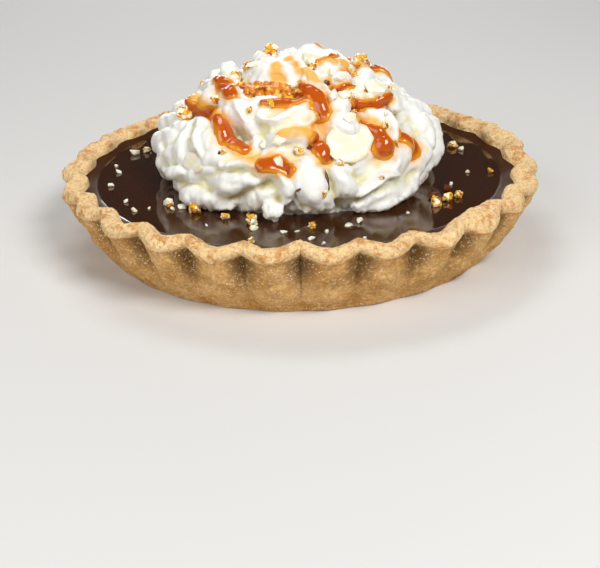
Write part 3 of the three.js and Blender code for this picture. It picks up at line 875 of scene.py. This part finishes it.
def lay(point: Vector, normal: Vector, turn: float = 0, tilt: float = 0) -> Matrix:
    """A frame on the cream: length along the level, thickness along the normal.

    Args:
        point: The frame's origin.
        normal: Outward direction there.
        turn: Turn of the length about the normal, in degrees.
        tilt: Lift of the upper side out of the surface, in degrees.
    """
    level = Vector((0, 0, 1)).cross(normal).normalized()
    frame_turn = Matrix((level, normal.cross(level), normal)).transposed().to_4x4()
    return (Matrix.Translation(point) @ frame_turn @ Matrix.Rotation(radians(turn), 4, "Z")
            @ Matrix.Rotation(radians(tilt), 4, "X"))


@dataclass
class Topping:
    """A topping that is a piece of its own: size in millimetres and its place on the dome."""

    node: str
    size: tuple[float, float, float]
    place: Place
    proud: float
    turn: float = 0
    tilt: float = 0

    def frame(self, cream: Cream) -> Matrix:
        """Where the topping lies on the cream."""
        normal = DOME.outward(DOME.point(self.place))
        return lay(cream.seat(self.place, -self.proud * MM), normal, self.turn, self.tilt)


@dataclass
class Flake(Topping):
    """A flaked almond: a thin wavy egg-shaped slice with a brown edge."""

    bend: float = 0.5

    def build(self, cream: Cream) -> bpy.types.Object:
        """Flattens a ball into the slice and bows it."""
        bm = bmesh.new()
        rim = bm.verts.layers.float.new("rim")
        bmesh.ops.create_uvsphere(bm, u_segments=96, v_segments=48, radius=1)
        half = Vector(self.size) * MM / 2
        seed = Vector(self.size)
        for vert in bm.verts:
            x, y, z = vert.co
            out = math.hypot(x, y)
            edge = 1 + 0.07 * noise.noise(Vector((x, y, 0)) * 2.2 + seed) - 0.02
            egg = 1 - 0.16 * x
            thick = math.copysign(math.sqrt(max(0, 1 - out**6)), z) * (0.55 if abs(z) > 0 else 0)
            bow = self.bend * (x * x * 0.5 - y * y * 0.35 + 0.25 * noise.noise(vert.co * 1.4 + seed))
            grain = 0.06 * noise.noise(Vector((x * 2, y * 9, 0)) + seed) * thick
            vert.co = Vector((x * edge * half.x, y * edge * egg * half.y,
                              (thick + grain) * half.z + bow * MM))
            vert[rim] = min(1, max(0, (out - 0.86) / 0.1))
        bmesh.ops.transform(bm, matrix=self.frame(cream), verts=bm.verts)
        return object_from(bm, "flaked_" + self.node)


@dataclass
class Chunk(Topping):
    """A chopped piece of almond with crisp cut faces."""

    cuts: int = 9

    def build(self, cream: Cream) -> bpy.types.Object:
        """Slices a block with a few random planes, then rounds its edges."""
        draw = random.Random(self.node)
        bm = bmesh.new()
        bmesh.ops.create_cube(bm, size=2)
        for _ in range(self.cuts):
            way = Vector([draw.gauss(0, 1) for _ in range(3)]).normalized()
            result = bmesh.ops.bisect_plane(bm, geom=bm.verts[:] + bm.edges[:] + bm.faces[:], dist=1e-6,
                                            plane_co=way * draw.uniform(0.82, 1.05), plane_no=way,
                                            clear_outer=True)
            cut = [part for part in result["geom_cut"] if isinstance(part, bmesh.types.BMEdge)]
            bmesh.ops.contextual_create(bm, geom=cut)
        bmesh.ops.scale(bm, vec=Vector(self.size) * MM / 2, verts=bm.verts)
        bmesh.ops.bevel(bm, geom=bm.edges[:], offset=0.22 * MM, offset_type="OFFSET", segments=3,
                        profile=0.5, affect="EDGES", material=-1, clamp_overlap=True)
        bmesh.ops.transform(bm, matrix=self.frame(cream), verts=bm.verts)
        return object_from(bm, "chopped_" + self.node, smooth=False)


@dataclass
class Brittle(Topping):
    """A knobbly piece of praline: chopped nuts held in burnt sugar."""

    grains: int = 40
    grain: float = 1.3
    voxel: float = 0.16

    def build(self, cream: Cream) -> bpy.types.Object:
        """Studs a core with grains and fuses them."""
        bm = bmesh.new()
        chopper = Chopper(random.Random(self.node))
        chopper.cluster(bm, self.size, self.frame(cream), self.grains, self.grain)
        bm = voxelled(bm, "brittle_shells", self.voxel * MM)
        bmesh.ops.smooth_vert(bm, verts=bm.verts, factor=0.4, use_axis_x=True, use_axis_y=True,
                              use_axis_z=True)
        return object_from(bm, "praline_" + self.node)


TOPPINGS = (
    Brittle("brittle_shard", (18, 6.4, 2.8), (-24, 60), 1.1, 2, 22, grains=110),
    Flake("almond_flake_large", (12.8, 9.6, 1.3), (24, 34), 0.7, 20, -4),
    Flake("almond_flake_small", (7.4, 4.6, 1.3), (-45, 21), 0.5, -8, bend=0.2),
    Chunk("almond_chunk_right", (4.6, 5.2, 3.6), (55, 53), 1.6, 10),
    Chunk("almond_chunk_far_right", (4.6, 4, 3.6), (73, 50), 1.6, 30),
    Chunk("almond_chunk_top", (3.6, 4.2, 5), (100, 84), 1.3),
    Brittle("brittle_chunk_peak", (3.4, 3.2, 4.2), (-120, 79), 1.6),
    Brittle("brittle_chunk_left", (4.4, 3.4, 3.4), (-77, 64), 1.5, 20),
    Brittle("nut_cluster_left", (4.8, 4.4, 4.2), (-77, 38), 1.7),
)


@dataclass(frozen=True)
class Crumb:
    """A small topping: its kind, size in millimetres and place.

    The place is (bearing, climb) on the dome, or (bearing, distance in mm) on the filling.
    """

    kind: Kind
    size: float
    place: Place
    slim: float = 1.0
    turn: float = 0


CREAM_CRUMBS = (
    Crumb(Kind.PRALINE, 2.6, (-72, 70)),
    Crumb(Kind.PRALINE, 3.2, (95, 65)),
    Crumb(Kind.PRALINE, 2.2, (67, 64)),
    Crumb(Kind.PRALINE, 2.2, (20, 73)),
    Crumb(Kind.PRALINE, 1.5, (-94, 50)),
    Crumb(Kind.PRALINE, 2.4, (0, 33)),
    Crumb(Kind.PRALINE, 1.8, (16, 26)),
    Crumb(Kind.PRALINE, 1.3, (17, 25)),
    Crumb(Kind.PRALINE, 1.8, (-32, 29)),
    Crumb(Kind.PRALINE, 2.4, (-15, 52)),
    Crumb(Kind.PRALINE, 1.6, (-27, 49)),
    Crumb(Kind.PRALINE, 1.4, (31, 16)),
    Crumb(Kind.PRALINE, 1.6, (9, 13)),
    Crumb(Kind.PRALINE, 2.2, (29, 45)),
    Crumb(Kind.PRALINE, 2.0, (38, 50)),
    Crumb(Kind.PRALINE, 2.0, (40, 36)),
    Crumb(Kind.PRALINE, 1.6, (34, 41)),
    Crumb(Kind.PRALINE, 2.8, (-6, 57)),
    Crumb(Kind.PRALINE, 2.6, (-52, 50)),
    Crumb(Kind.NUT, 3.0, (-28, 38)),
    Crumb(Kind.NUT, 2.2, (-33, 39)),
    Crumb(Kind.NUT, 2.8, (-8, 27)),
    Crumb(Kind.NUT, 3.2, (29, 53)),
    Crumb(Kind.NUT, 2.8, (22, 54), 0.6, 60),
    Crumb(Kind.NUT, 3.6, (26, 43), 0.5, 20),
    Crumb(Kind.NUT, 3.4, (-8, 36), 0.4, 30),
    Crumb(Kind.NUT, 3.0, (-16, 37), 0.4, 70),
    Crumb(Kind.NUT, 3.4, (42, 81), 0.5, 40),
    Crumb(Kind.NUT, 3.2, (82, 77), 0.6),
    Crumb(Kind.NUT, 3.0, (81, 68)),
    Crumb(Kind.NUT, 3.4, (84, 61), 0.7, 30),
    Crumb(Kind.NUT, 3.2, (117, 59), 0.8),
    Crumb(Kind.NUT, 3.0, (37, 49), 0.6, 80),
    Crumb(Kind.NUT, 3.4, (-69, 76), 0.4, 30),
    Crumb(Kind.NUT, 2.8, (38, 63), 0.7),
    Crumb(Kind.PRALINE, 2.4, (3, 68)),
    Crumb(Kind.PRALINE, 2.6, (88, 66)),
    Crumb(Kind.PRALINE, 2.2, (33, 53)),
    Crumb(Kind.PRALINE, 2.0, (62, 50)),
    Crumb(Kind.NUT, 2.6, (45, 56)),
    Crumb(Kind.NUT, 2.6, (84, 60)),
    Crumb(Kind.NUT, 2.4, (38, 68)),
    Crumb(Kind.NUT, 3.4, (-60, 72), 0.4, 60),
    Crumb(Kind.NUT, 2.8, (-4, 68), 0.4, 10),
    Crumb(Kind.NUT, 2.0, (4, 31)),
    Crumb(Kind.NUT, 1.6, (46, 41), 0.5),
    Crumb(Kind.SKIN, 4.6, (11, 18), 0.2, 90),
    Crumb(Kind.SKIN, 1.8, (5, 35), 0.6, 10),
    Crumb(Kind.SKIN, 2.2, (-30, 35), 0.4, 20),
    Crumb(Kind.SKIN, 1.5, (0, 15), 0.4, 20),
    Crumb(Kind.SKIN, 2.2, (30, 66), 0.6, 60),
    Crumb(Kind.SKIN, 1.8, (-18, 54), 0.4, 0),
    Crumb(Kind.SKIN, 1.2, (-33, 28), 0.5, 80),
    Crumb(Kind.SKIN, 2.0, (56, 53), 0.4, 40),
)

FILLING_CRUMBS = (
    Crumb(Kind.NUT, 2.6, (-54, 38.7)),
    Crumb(Kind.PRALINE, 1.6, (-52, 38.9)),
    Crumb(Kind.NUT, 2.4, (-48, 37.4), 0.8),
    Crumb(Kind.NUT, 1.2, (-49, 39.6)),
    Crumb(Kind.PRALINE, 3.8, (-42, 36.6)),
    Crumb(Kind.PRALINE, 2.2, (-28, 36.4)),
    Crumb(Kind.PRALINE, 3.2, (-17, 37.2)),
    Crumb(Kind.PRALINE, 2.0, (-18, 35.6)),
    Crumb(Kind.NUT, 1.8, (-15, 40.6)),
    Crumb(Kind.NUT, 1.6, (-5, 41.6), 0.5),
    Crumb(Kind.NUT, 1.4, (-1, 41.1), 0.4, 40),
    Crumb(Kind.PRALINE, 2.0, (4, 38.8)),
    Crumb(Kind.NUT, 2.4, (21, 38.2), 0.5, 70),
    Crumb(Kind.NUT, 1.8, (16, 39.8), 0.5, 30),
    Crumb(Kind.NUT, 1.2, (8, 42.4)),
    Crumb(Kind.NUT, 1.6, (3, 45.6), 0.7),
    Crumb(Kind.PRALINE, 2.8, (50, 41.8)),
    Crumb(Kind.PRALINE, 3.0, (56, 42.5)),
    Crumb(Kind.PRALINE, 2.0, (60, 44)),
    Crumb(Kind.NUT, 1.6, (62, 43.4)),
    Crumb(Kind.SKIN, 2.4, (55, 39.2)),
    Crumb(Kind.SKIN, 2.2, (64, 39.8)),
    Crumb(Kind.NUT, 1.2, (70, 39.8)),
    Crumb(Kind.PRALINE, 1.6, (84, 48.6)),
    Crumb(Kind.NUT, 1.2, (83, 43)),
    Crumb(Kind.PRALINE, 2.6, (110, 44.3)),
    Crumb(Kind.NUT, 1.8, (106, 45.4)),
    Crumb(Kind.NUT, 2.6, (-109, 46.5)),
    Crumb(Kind.PRALINE, 2.2, (-113, 44.6)),
    Crumb(Kind.NUT, 1.0, (-97, 48.1)),
    Crumb(Kind.NUT, 1.4, (-91, 46.3)),
    Crumb(Kind.NUT, 1.3, (-79, 47.8)),
    Crumb(Kind.NUT, 1.1, (-64, 46.3)),
    Crumb(Kind.NUT, 1.3, (-56, 46.9)),
    Crumb(Kind.PRALINE, 1.6, (-13, 47.5)),
    Crumb(Kind.NUT, 1.0, (17, 48.1)),
    Crumb(Kind.NUT, 1.0, (6, 48.6)),
    Crumb(Kind.NUT, 0.9, (-30, 42.3)),
    Crumb(Kind.NUT, 0.8, (-55, 43.3)),
    Crumb(Kind.NUT, 1.1, (38, 40.5)),
    Crumb(Kind.PRALINE, 2.4, (134, 46)),
    Crumb(Kind.NUT, 2.2, (126, 46.5)),
    Crumb(Kind.PRALINE, 2.4, (160, 44.5)),
    Crumb(Kind.NUT, 2.0, (-150, 45)),
    Crumb(Kind.PRALINE, 1.8, (-172, 44)),
)


@dataclass
class Scatter:
    """The small toppings, one mesh for each kind."""

    cream: Cream
    filling_level: float = 15.4

    def frames(self) -> Iterable[tuple[Crumb, Matrix]]:
        """Each crumb with where it lies: on the cream or on the filling."""
        for crumb in CREAM_CRUMBS:
            normal = DOME.outward(DOME.point(crumb.place))
            seat = self.cream.seat(crumb.place, -crumb.size * crumb.slim * 0.12 * MM)
            yield crumb, lay(seat, normal, crumb.turn)
        for crumb in FILLING_CRUMBS:
            bearing = radians(crumb.place[0])
            flat = Vector((math.sin(bearing), -math.cos(bearing), 0)) * crumb.place[1]
            flat.z = self.filling_level + crumb.size * crumb.slim * 0.26
            yield crumb, Matrix.Translation(flat * MM) @ Matrix.Rotation(radians(crumb.turn), 4, "Z")

    def build(self) -> dict[Kind, bpy.types.Object]:
        """Cuts every crumb and gathers each kind into one piece."""
        meshes = {kind: bmesh.new() for kind in Kind}
        chopper = Chopper(random.Random(11))
        for crumb, place in self.frames():
            bm = meshes[crumb.kind]
            wide = crumb.size
            if crumb.kind is Kind.PRALINE:
                grains = max(6, int(5 * wide))
                chopper.cluster(bm, (wide * 1.1, wide, wide * 0.8), place @ chopper.spin(), grains, 0.75)
            else:
                thick = wide * crumb.slim
                deep = thick if crumb.kind is Kind.SKIN else wide * 0.75
                turn = Matrix.Identity(4) if crumb.slim < 1 else chopper.spin()
                chopper.chip(bm, (wide * 1.1, deep, thick * 0.8), place @ turn, rough=0.34, square=2.6, detail=1)
        return {kind: object_from(bm, kind.value, smooth=False) for kind, bm in meshes.items()}


# Finishes

class Graph:
    """Wires a material's nodes. Textures are on object coordinates, in metres."""

    def __init__(self, name: str) -> None:
        self.material = bpy.data.materials.new(name)
        self.material.use_nodes = True
        self.tree = self.material.node_tree
        self.shader = self.tree.nodes["Principled BSDF"]
        self.space = self.tree.nodes.new("ShaderNodeTexCoord").outputs["Object"]

    def node(self, kind: str, inputs: dict[str | int, object], **settings: object) -> bpy.types.Node:
        """Adds a node with its settings and inputs, each a value or another node's output."""
        made = self.tree.nodes.new(kind)
        for name, value in settings.items():
            setattr(made, name, value)
        for name, value in inputs.items():
            self.feed(made.inputs[name], value)
        return made

    def feed(self, socket: bpy.types.NodeSocket, value: object) -> None:
        """Gives a socket a value or links an output to it."""
        if isinstance(value, bpy.types.NodeSocket):
            self.tree.links.new(value, socket)
        elif isinstance(value, tuple) and len(value) == 3 and socket.type == "RGBA":
            socket.default_value = (*value, 1)
        else:
            socket.default_value = value

    def noise(self, millimetres: float, detail: float = 2, roughness: float = 0.5) -> bpy.types.NodeSocket:
        """Noise with features of about that size."""
        made = self.node("ShaderNodeTexNoise", {"Vector": self.space, "Scale": 1 / (millimetres * MM),
                                                "Detail": detail, "Roughness": roughness})
        return made.outputs["Fac"]

    def cells(self, millimetres: float, output: str = "Distance") -> bpy.types.NodeSocket:
        """Random cells of about that size."""
        made = self.node("ShaderNodeTexVoronoi", {"Vector": self.space, "Scale": 1 / (millimetres * MM)})
        return made.outputs[output]

    def stored(self, name: str) -> bpy.types.NodeSocket:
        """A value that the mesh keeps at each vertex."""
        return self.node("ShaderNodeAttribute", {}, attribute_name=name).outputs["Fac"]

    def between(self, value: object, low: float, high: float) -> bpy.types.NodeSocket:
        """Maps low..high smoothly to 0..1."""
        made = self.node("ShaderNodeMapRange", {"Value": value, "From Min": low, "From Max": high},
                         interpolation_type="SMOOTHSTEP")
        return made.outputs["Result"]

    def math(self, operation: str, first: object, second: object) -> bpy.types.NodeSocket:
        """One sum on two values."""
        return self.node("ShaderNodeMath", {0: first, 1: second}, operation=operation).outputs[0]

    def mix(self, share: object, first: object, second: object) -> bpy.types.NodeSocket:
        """Blends two colours."""
        made = self.node("ShaderNodeMix", {0: share, 6: first, 7: second}, data_type="RGBA")
        return made.outputs[2]

    def height(self) -> bpy.types.NodeSocket:
        """Height over the table, in metres."""
        return self.node("ShaderNodeSeparateXYZ", {"Vector": self.space}).outputs["Z"]

    def bump(self, height: object, strength: float, millimetres: float) -> None:
        """Roughens the shading by a height map."""
        made = self.node("ShaderNodeBump", {"Height": height, "Strength": strength,
                                            "Distance": millimetres * MM})
        self.feed(self.shader.inputs["Normal"], made.outputs["Normal"])

    def finish(self, values: dict[str, object]) -> bpy.types.Material:
        """Sets the shader's own inputs and gives the material back."""
        for name, value in values.items():
            self.feed(self.shader.inputs[name], value)
        return self.material


@dataclass(frozen=True)
class PastryFinish:
    """Baked shortcrust: golden lobes, painted shade in the grooves, a paler rim and a fine crumb with painted
    glints.
    """

    pale: tuple[float, float, float] = (0.87, 0.53, 0.20)
    tan: tuple[float, float, float] = (0.58, 0.29, 0.075)
    # brown: the painted shade colour for the grooves
    brown: tuple[float, float, float] = (0.17, 0.085, 0.02)
    rim: tuple[float, float, float] = (0.98, 0.68, 0.34)
    toasted: tuple[float, float, float] = (0.66, 0.27, 0.06)

    def make(self) -> bpy.types.Material:
        """Builds the material."""
        graph = Graph("pastry")
        patches = graph.between(graph.noise(8, 3, 0.6), 0.35, 0.68)
        wall = graph.mix(patches, self.tan, self.pale)
        # painted shade: the stored groove value darkens the grooves, most just under the rim
        groove = graph.between(graph.stored("groove"), 0.1, 0.75)
        wall = graph.mix(graph.math("MULTIPLY", groove, 0.93), wall, self.brown)
        lip = graph.stored("lip")
        toast = graph.between(graph.noise(3.4, 3, 0.65), 0.5, 0.64)
        rim = graph.mix(graph.math("MULTIPLY", toast, 0.75), self.rim, self.toasted)
        line = graph.math("MULTIPLY", graph.between(lip, 0.0, 0.35), graph.between(lip, 0.95, 0.45))
        colour = graph.mix(graph.between(lip, 0.3, 0.9), wall, rim)
        colour = graph.mix(graph.math("MULTIPLY", line, 0.6), colour, self.toasted)
        # more painted shade in the grooves, over the rim as well
        colour = graph.mix(graph.math("MULTIPLY", groove, 0.3), colour, self.brown)
        grain = graph.noise(0.8, 3, 0.7)
        dark = graph.math("MULTIPLY", graph.between(grain, 0.50, 0.38), 0.45)
        colour = graph.mix(dark, colour, (0.48, 0.20, 0.04))
        light = graph.math("MULTIPLY", graph.between(grain, 0.53, 0.64), 0.45)
        colour = graph.mix(light, colour, (1.0, 0.78, 0.42))
        # painted glints: small white sugar specks painted bright as glints
        painted_glint = graph.between(graph.cells(0.8), 0.24, 0.12)
        painted_glint = graph.math("MULTIPLY", painted_glint, graph.between(graph.noise(5, 2), 0.42, 0.6))
        colour = graph.mix(painted_glint, colour, (1.0, 0.97, 0.9))
        graph.bump(graph.math("ADD", grain, graph.math("MULTIPLY", graph.noise(0.35), 0.5)), 0.8, 1.0)
        return graph.finish({"Base Color": colour, "Roughness": 0.7, "Specular IOR Level": 0.2,
                             "Subsurface Weight": 0.1, "Subsurface Radius": (0.002, 0.001, 0.0005),
                             "Subsurface Scale": 1.0})


@dataclass(frozen=True)
class ChocolateFinish:
    """Dark chocolate glaze with a mirror shine, duller where it has crept up the pastry."""

    colour: tuple[float, float, float] = (0.036, 0.0095, 0.0028)
    crept: tuple[float, float, float] = (0.050, 0.017, 0.005)

    def make(self) -> bpy.types.Material:
        """Builds the material."""
        graph = Graph("chocolate")
        edge = graph.stored("edge")
        colour = graph.mix(edge, self.colour, self.crept)
        rough = graph.math("ADD", 0.07, graph.math("MULTIPLY", edge, 0.5))
        shine = graph.math("SUBTRACT", 1.85, graph.math("MULTIPLY", graph.between(edge, 0.0, 0.5), 0.7))
        graph.bump(graph.noise(14, 1), 0.12, 0.5)
        return graph.finish({"Base Color": colour, "Roughness": rough, "IOR": shine,
                             "Specular Tint": (1.0, 0.74, 0.46)})


@dataclass(frozen=True)
class CreamFinish:
    """Whipped cream with painted warm shade in its hollows, stained where syrup has soaked in."""

    white: tuple[float, float, float] = (0.88, 0.875, 0.83)
    # hollow: the painted shade colour for the folds
    hollow: tuple[float, float, float] = (0.74, 0.69, 0.36)
    syrup: tuple[float, float, float] = (0.90, 0.47, 0.09)

    def make(self) -> bpy.types.Material:
        """Builds the material."""
        graph = Graph("cream")
        # painted shade: the stored hollow value turns the folds warm and darker
        colour = graph.mix(graph.math("MULTIPLY", graph.stored("hollow"), 0.8), self.white, self.hollow)
        colour = graph.mix(graph.between(graph.stored("syrup"), 0.0, 0.75), colour, self.syrup)
        graph.bump(graph.noise(0.5, 3, 0.7), 0.25, 0.2)
        return graph.finish({"Base Color": colour, "Roughness": 0.42, "Subsurface Weight": 0.15,
                             "Subsurface Radius": (0.002, 0.0017, 0.001), "Subsurface Scale": 1.0})


@dataclass(frozen=True)
class CaramelFinish:
    """Glossy caramel, yellow where thin and red-brown where it pools."""

    thin: tuple[float, float, float] = (0.80, 0.30, 0.02)
    thick: tuple[float, float, float] = (0.52, 0.09, 0.006)

    def make(self) -> bpy.types.Material:
        """Builds the material."""
        graph = Graph("caramel")
        colour = graph.mix(graph.between(graph.stored("depth"), 0.02, 0.5), self.thin, self.thick)
        return graph.finish({"Base Color": colour, "Roughness": 0.08, "IOR": 1.48,
                             "Subsurface Weight": 0.25, "Subsurface Radius": (0.002, 0.0006, 0.0002),
                             "Subsurface Scale": 1.0})


@dataclass(frozen=True)
class BrittleFinish:
    """Burnt sugar with chopped nut in it."""

    name: str = "brittle"
    amber: tuple[float, float, float] = (0.93, 0.48, 0.03)
    burnt: tuple[float, float, float] = (0.40, 0.10, 0.012)
    nut: tuple[float, float, float] = (0.97, 0.88, 0.64)
    nuts: float = 0.62

    def make(self) -> bpy.types.Material:
        """Builds the material."""
        graph = Graph(self.name)
        colour = graph.mix(graph.between(graph.noise(1.3, 3), 0.50, 0.62), self.amber, self.burnt)
        bits = graph.between(graph.cells(0.9, "Color"), self.nuts, self.nuts + 0.04)
        colour = graph.mix(bits, colour, self.nut)
        graph.bump(graph.noise(0.5), 0.3, 0.2)
        return graph.finish({"Base Color": colour, "Roughness": 0.15, "IOR": 1.55,
                             "Subsurface Weight": 0.25, "Subsurface Radius": (0.001, 0.0005, 0.0002),
                             "Subsurface Scale": 1.0})


@dataclass(frozen=True)
class AlmondFinish:
    """Blanched almond, with a brown rim on the flakes."""

    flesh: tuple[float, float, float] = (0.88, 0.80, 0.58)
    rim: tuple[float, float, float] = (0.80, 0.52, 0.20)

    def make(self) -> bpy.types.Material:
        """Builds the material."""
        graph = Graph("almond")
        flesh = graph.mix(graph.between(graph.noise(1.5, 2), 0.4, 0.7), self.flesh, (0.93, 0.90, 0.80))
        colour = graph.mix(graph.math("MULTIPLY", graph.stored("rim"), 0.35), flesh, self.rim)
        graph.bump(graph.noise(0.4), 0.15, 0.2)
        return graph.finish({"Base Color": colour, "Roughness": 0.35, "Subsurface Weight": 0.3,
                             "Subsurface Radius": (0.002, 0.0015, 0.0008), "Subsurface Scale": 1.0})


@dataclass(frozen=True)
class PlainFinish:
    """One plain colour."""

    name: str
    colour: tuple[float, float, float]
    roughness: float

    def make(self) -> bpy.types.Material:
        """Builds the material."""
        return Graph(self.name).finish({"Base Color": self.colour, "Roughness": self.roughness})


# Studio

@dataclass(frozen=True)
class Lamp:
    """A soft rectangular light that points at the tart."""

    name: str
    place: tuple[float, float, float]
    size: tuple[float, float]
    power: float
    colour: tuple[float, float, float] = (1, 1, 1)

    def add(self) -> None:
        """Adds the light, turned towards the tart."""
        data = bpy.data.lights.new(self.name, "AREA")
        data.shape = "RECTANGLE"
        data.size, data.size_y = self.size
        data.energy = self.power
        data.color = self.colour
        lamp = bpy.data.objects.new(self.name, data)
        lamp.location = self.place
        aim = Vector((0, 0, 0.02)) - Vector(self.place)
        lamp.rotation_euler = aim.to_track_quat("-Z", "Y").to_euler()
        bpy.context.scene.collection.objects.link(lamp)


@dataclass(frozen=True)
class Studio:
    """Pale floor, soft light and the camera at the photograph's viewing angle."""

    eye: tuple[float, float, float] = (0, -0.26355, 0.10885)
    right: tuple[float, float, float] = (0.99972, -0.00904, -0.02169)
    up: tuple[float, float, float] = (0.02347, 0.43121, 0.90195)
    lens: float = 64.92
    lamps: tuple[Lamp, ...] = (
        Lamp("key", (0.26, -0.34, 0.44), (0.26, 0.20), 2.8),
        Lamp("fill", (-0.32, -0.36, 0.30), (0.36, 0.36), 1.45),
        Lamp("back", (0, 0.80, 0.14), (0.8, 0.10), 2.6),
        Lamp("top", (-0.10, 0.28, 0.50), (0.30, 0.16), 0.9),
    )

    def build(self) -> None:
        """Adds the floor, the lights, the world and the camera."""
        bm = bmesh.new()
        bmesh.ops.create_grid(bm, x_segments=1, y_segments=1, size=2)
        floor = object_from(bm, "floor", smooth=False)
        floor.data.materials.append(PlainFinish("floor", (0.72, 0.71, 0.69), 0.9).make())
        for lamp in self.lamps:
            lamp.add()
        scene = bpy.context.scene
        world = bpy.data.worlds.new("studio")
        world.use_nodes = True
        world.node_tree.nodes["Background"].inputs["Color"].default_value = (1, 0.98, 0.95, 1)
        world.node_tree.nodes["Background"].inputs["Strength"].default_value = 0.05
        scene.world = world
        scene.view_settings.view_transform = "Standard"
        data = bpy.data.cameras.new("camera")
        data.lens = self.lens
        data.sensor_width = 36
        data.clip_start = 0.01
        camera = bpy.data.objects.new("camera", data)
        right, up = Vector(self.right), Vector(self.up)
        turn = Matrix((right, up, right.cross(up))).transposed().to_4x4()
        camera.matrix_world = Matrix.Translation(self.eye) @ turn
        scene.collection.objects.link(camera)
        scene.camera = camera


# Assembly

@dataclass
class Tart:
    """The whole tart."""

    shell: Shell = field(default_factory=Shell)
    cream: Cream = field(default_factory=Cream)
    pieces: dict[str, bpy.types.Object] = field(default_factory=dict)

    def build(self) -> None:
        """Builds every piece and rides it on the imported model."""
        self.pieces["crust"] = report(self.shell.build(), "pastry", "crust")
        self.pieces["filling"] = report(Filling(self.shell).build(), "chocolate", "chocolate_filling")
        self.pieces["cream"] = report(self.cream.build(), "cream", "whipped_cream")
        self.pieces["caramel"] = report(self.cream.caramel(), "caramel")
        for topping in TOPPINGS:
            slot = "caramel" if isinstance(topping, Brittle) else "almond"
            self.pieces[topping.node] = report(topping.build(self.cream), slot, topping.node)
        for kind, piece in Scatter(self.cream).build().items():
            slot = "caramel" if kind is Kind.PRALINE else "almond"
            self.pieces[kind.value] = report(piece, slot)

    def dress(self) -> None:
        """Gives every piece its finish."""
        brittle = BrittleFinish().make()
        almond = AlmondFinish().make()
        finishes = {
            "crust": PastryFinish().make(),
            "filling": ChocolateFinish().make(),
            "cream": CreamFinish().make(),
            "caramel": CaramelFinish().make(),
            Kind.PRALINE.value: brittle,
            Kind.NUT.value: almond,
            Kind.SKIN.value: PlainFinish("nut_skin", (0.12, 0.025, 0.008), 0.3).make(),
        }
        for topping in TOPPINGS:
            finishes[topping.node] = brittle if isinstance(topping, Brittle) else almond
        finishes["brittle_shard"] = BrittleFinish("burnt_sugar", (0.72, 0.24, 0.012),
                                                  (0.26, 0.055, 0.008), (0.95, 0.55, 0.12), 0.78).make()
        for name, piece in self.pieces.items():
            piece.data.materials.append(finishes[name])


def main() -> None:
    """Builds and dresses the tart in its studio."""
    logging.basicConfig(level=logging.INFO, format="%(name)s: %(message)s")
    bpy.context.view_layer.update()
    tart = Tart()
    tart.build()
    tart.dress()
    Studio().build()


if __name__ == "__main__":
    main()
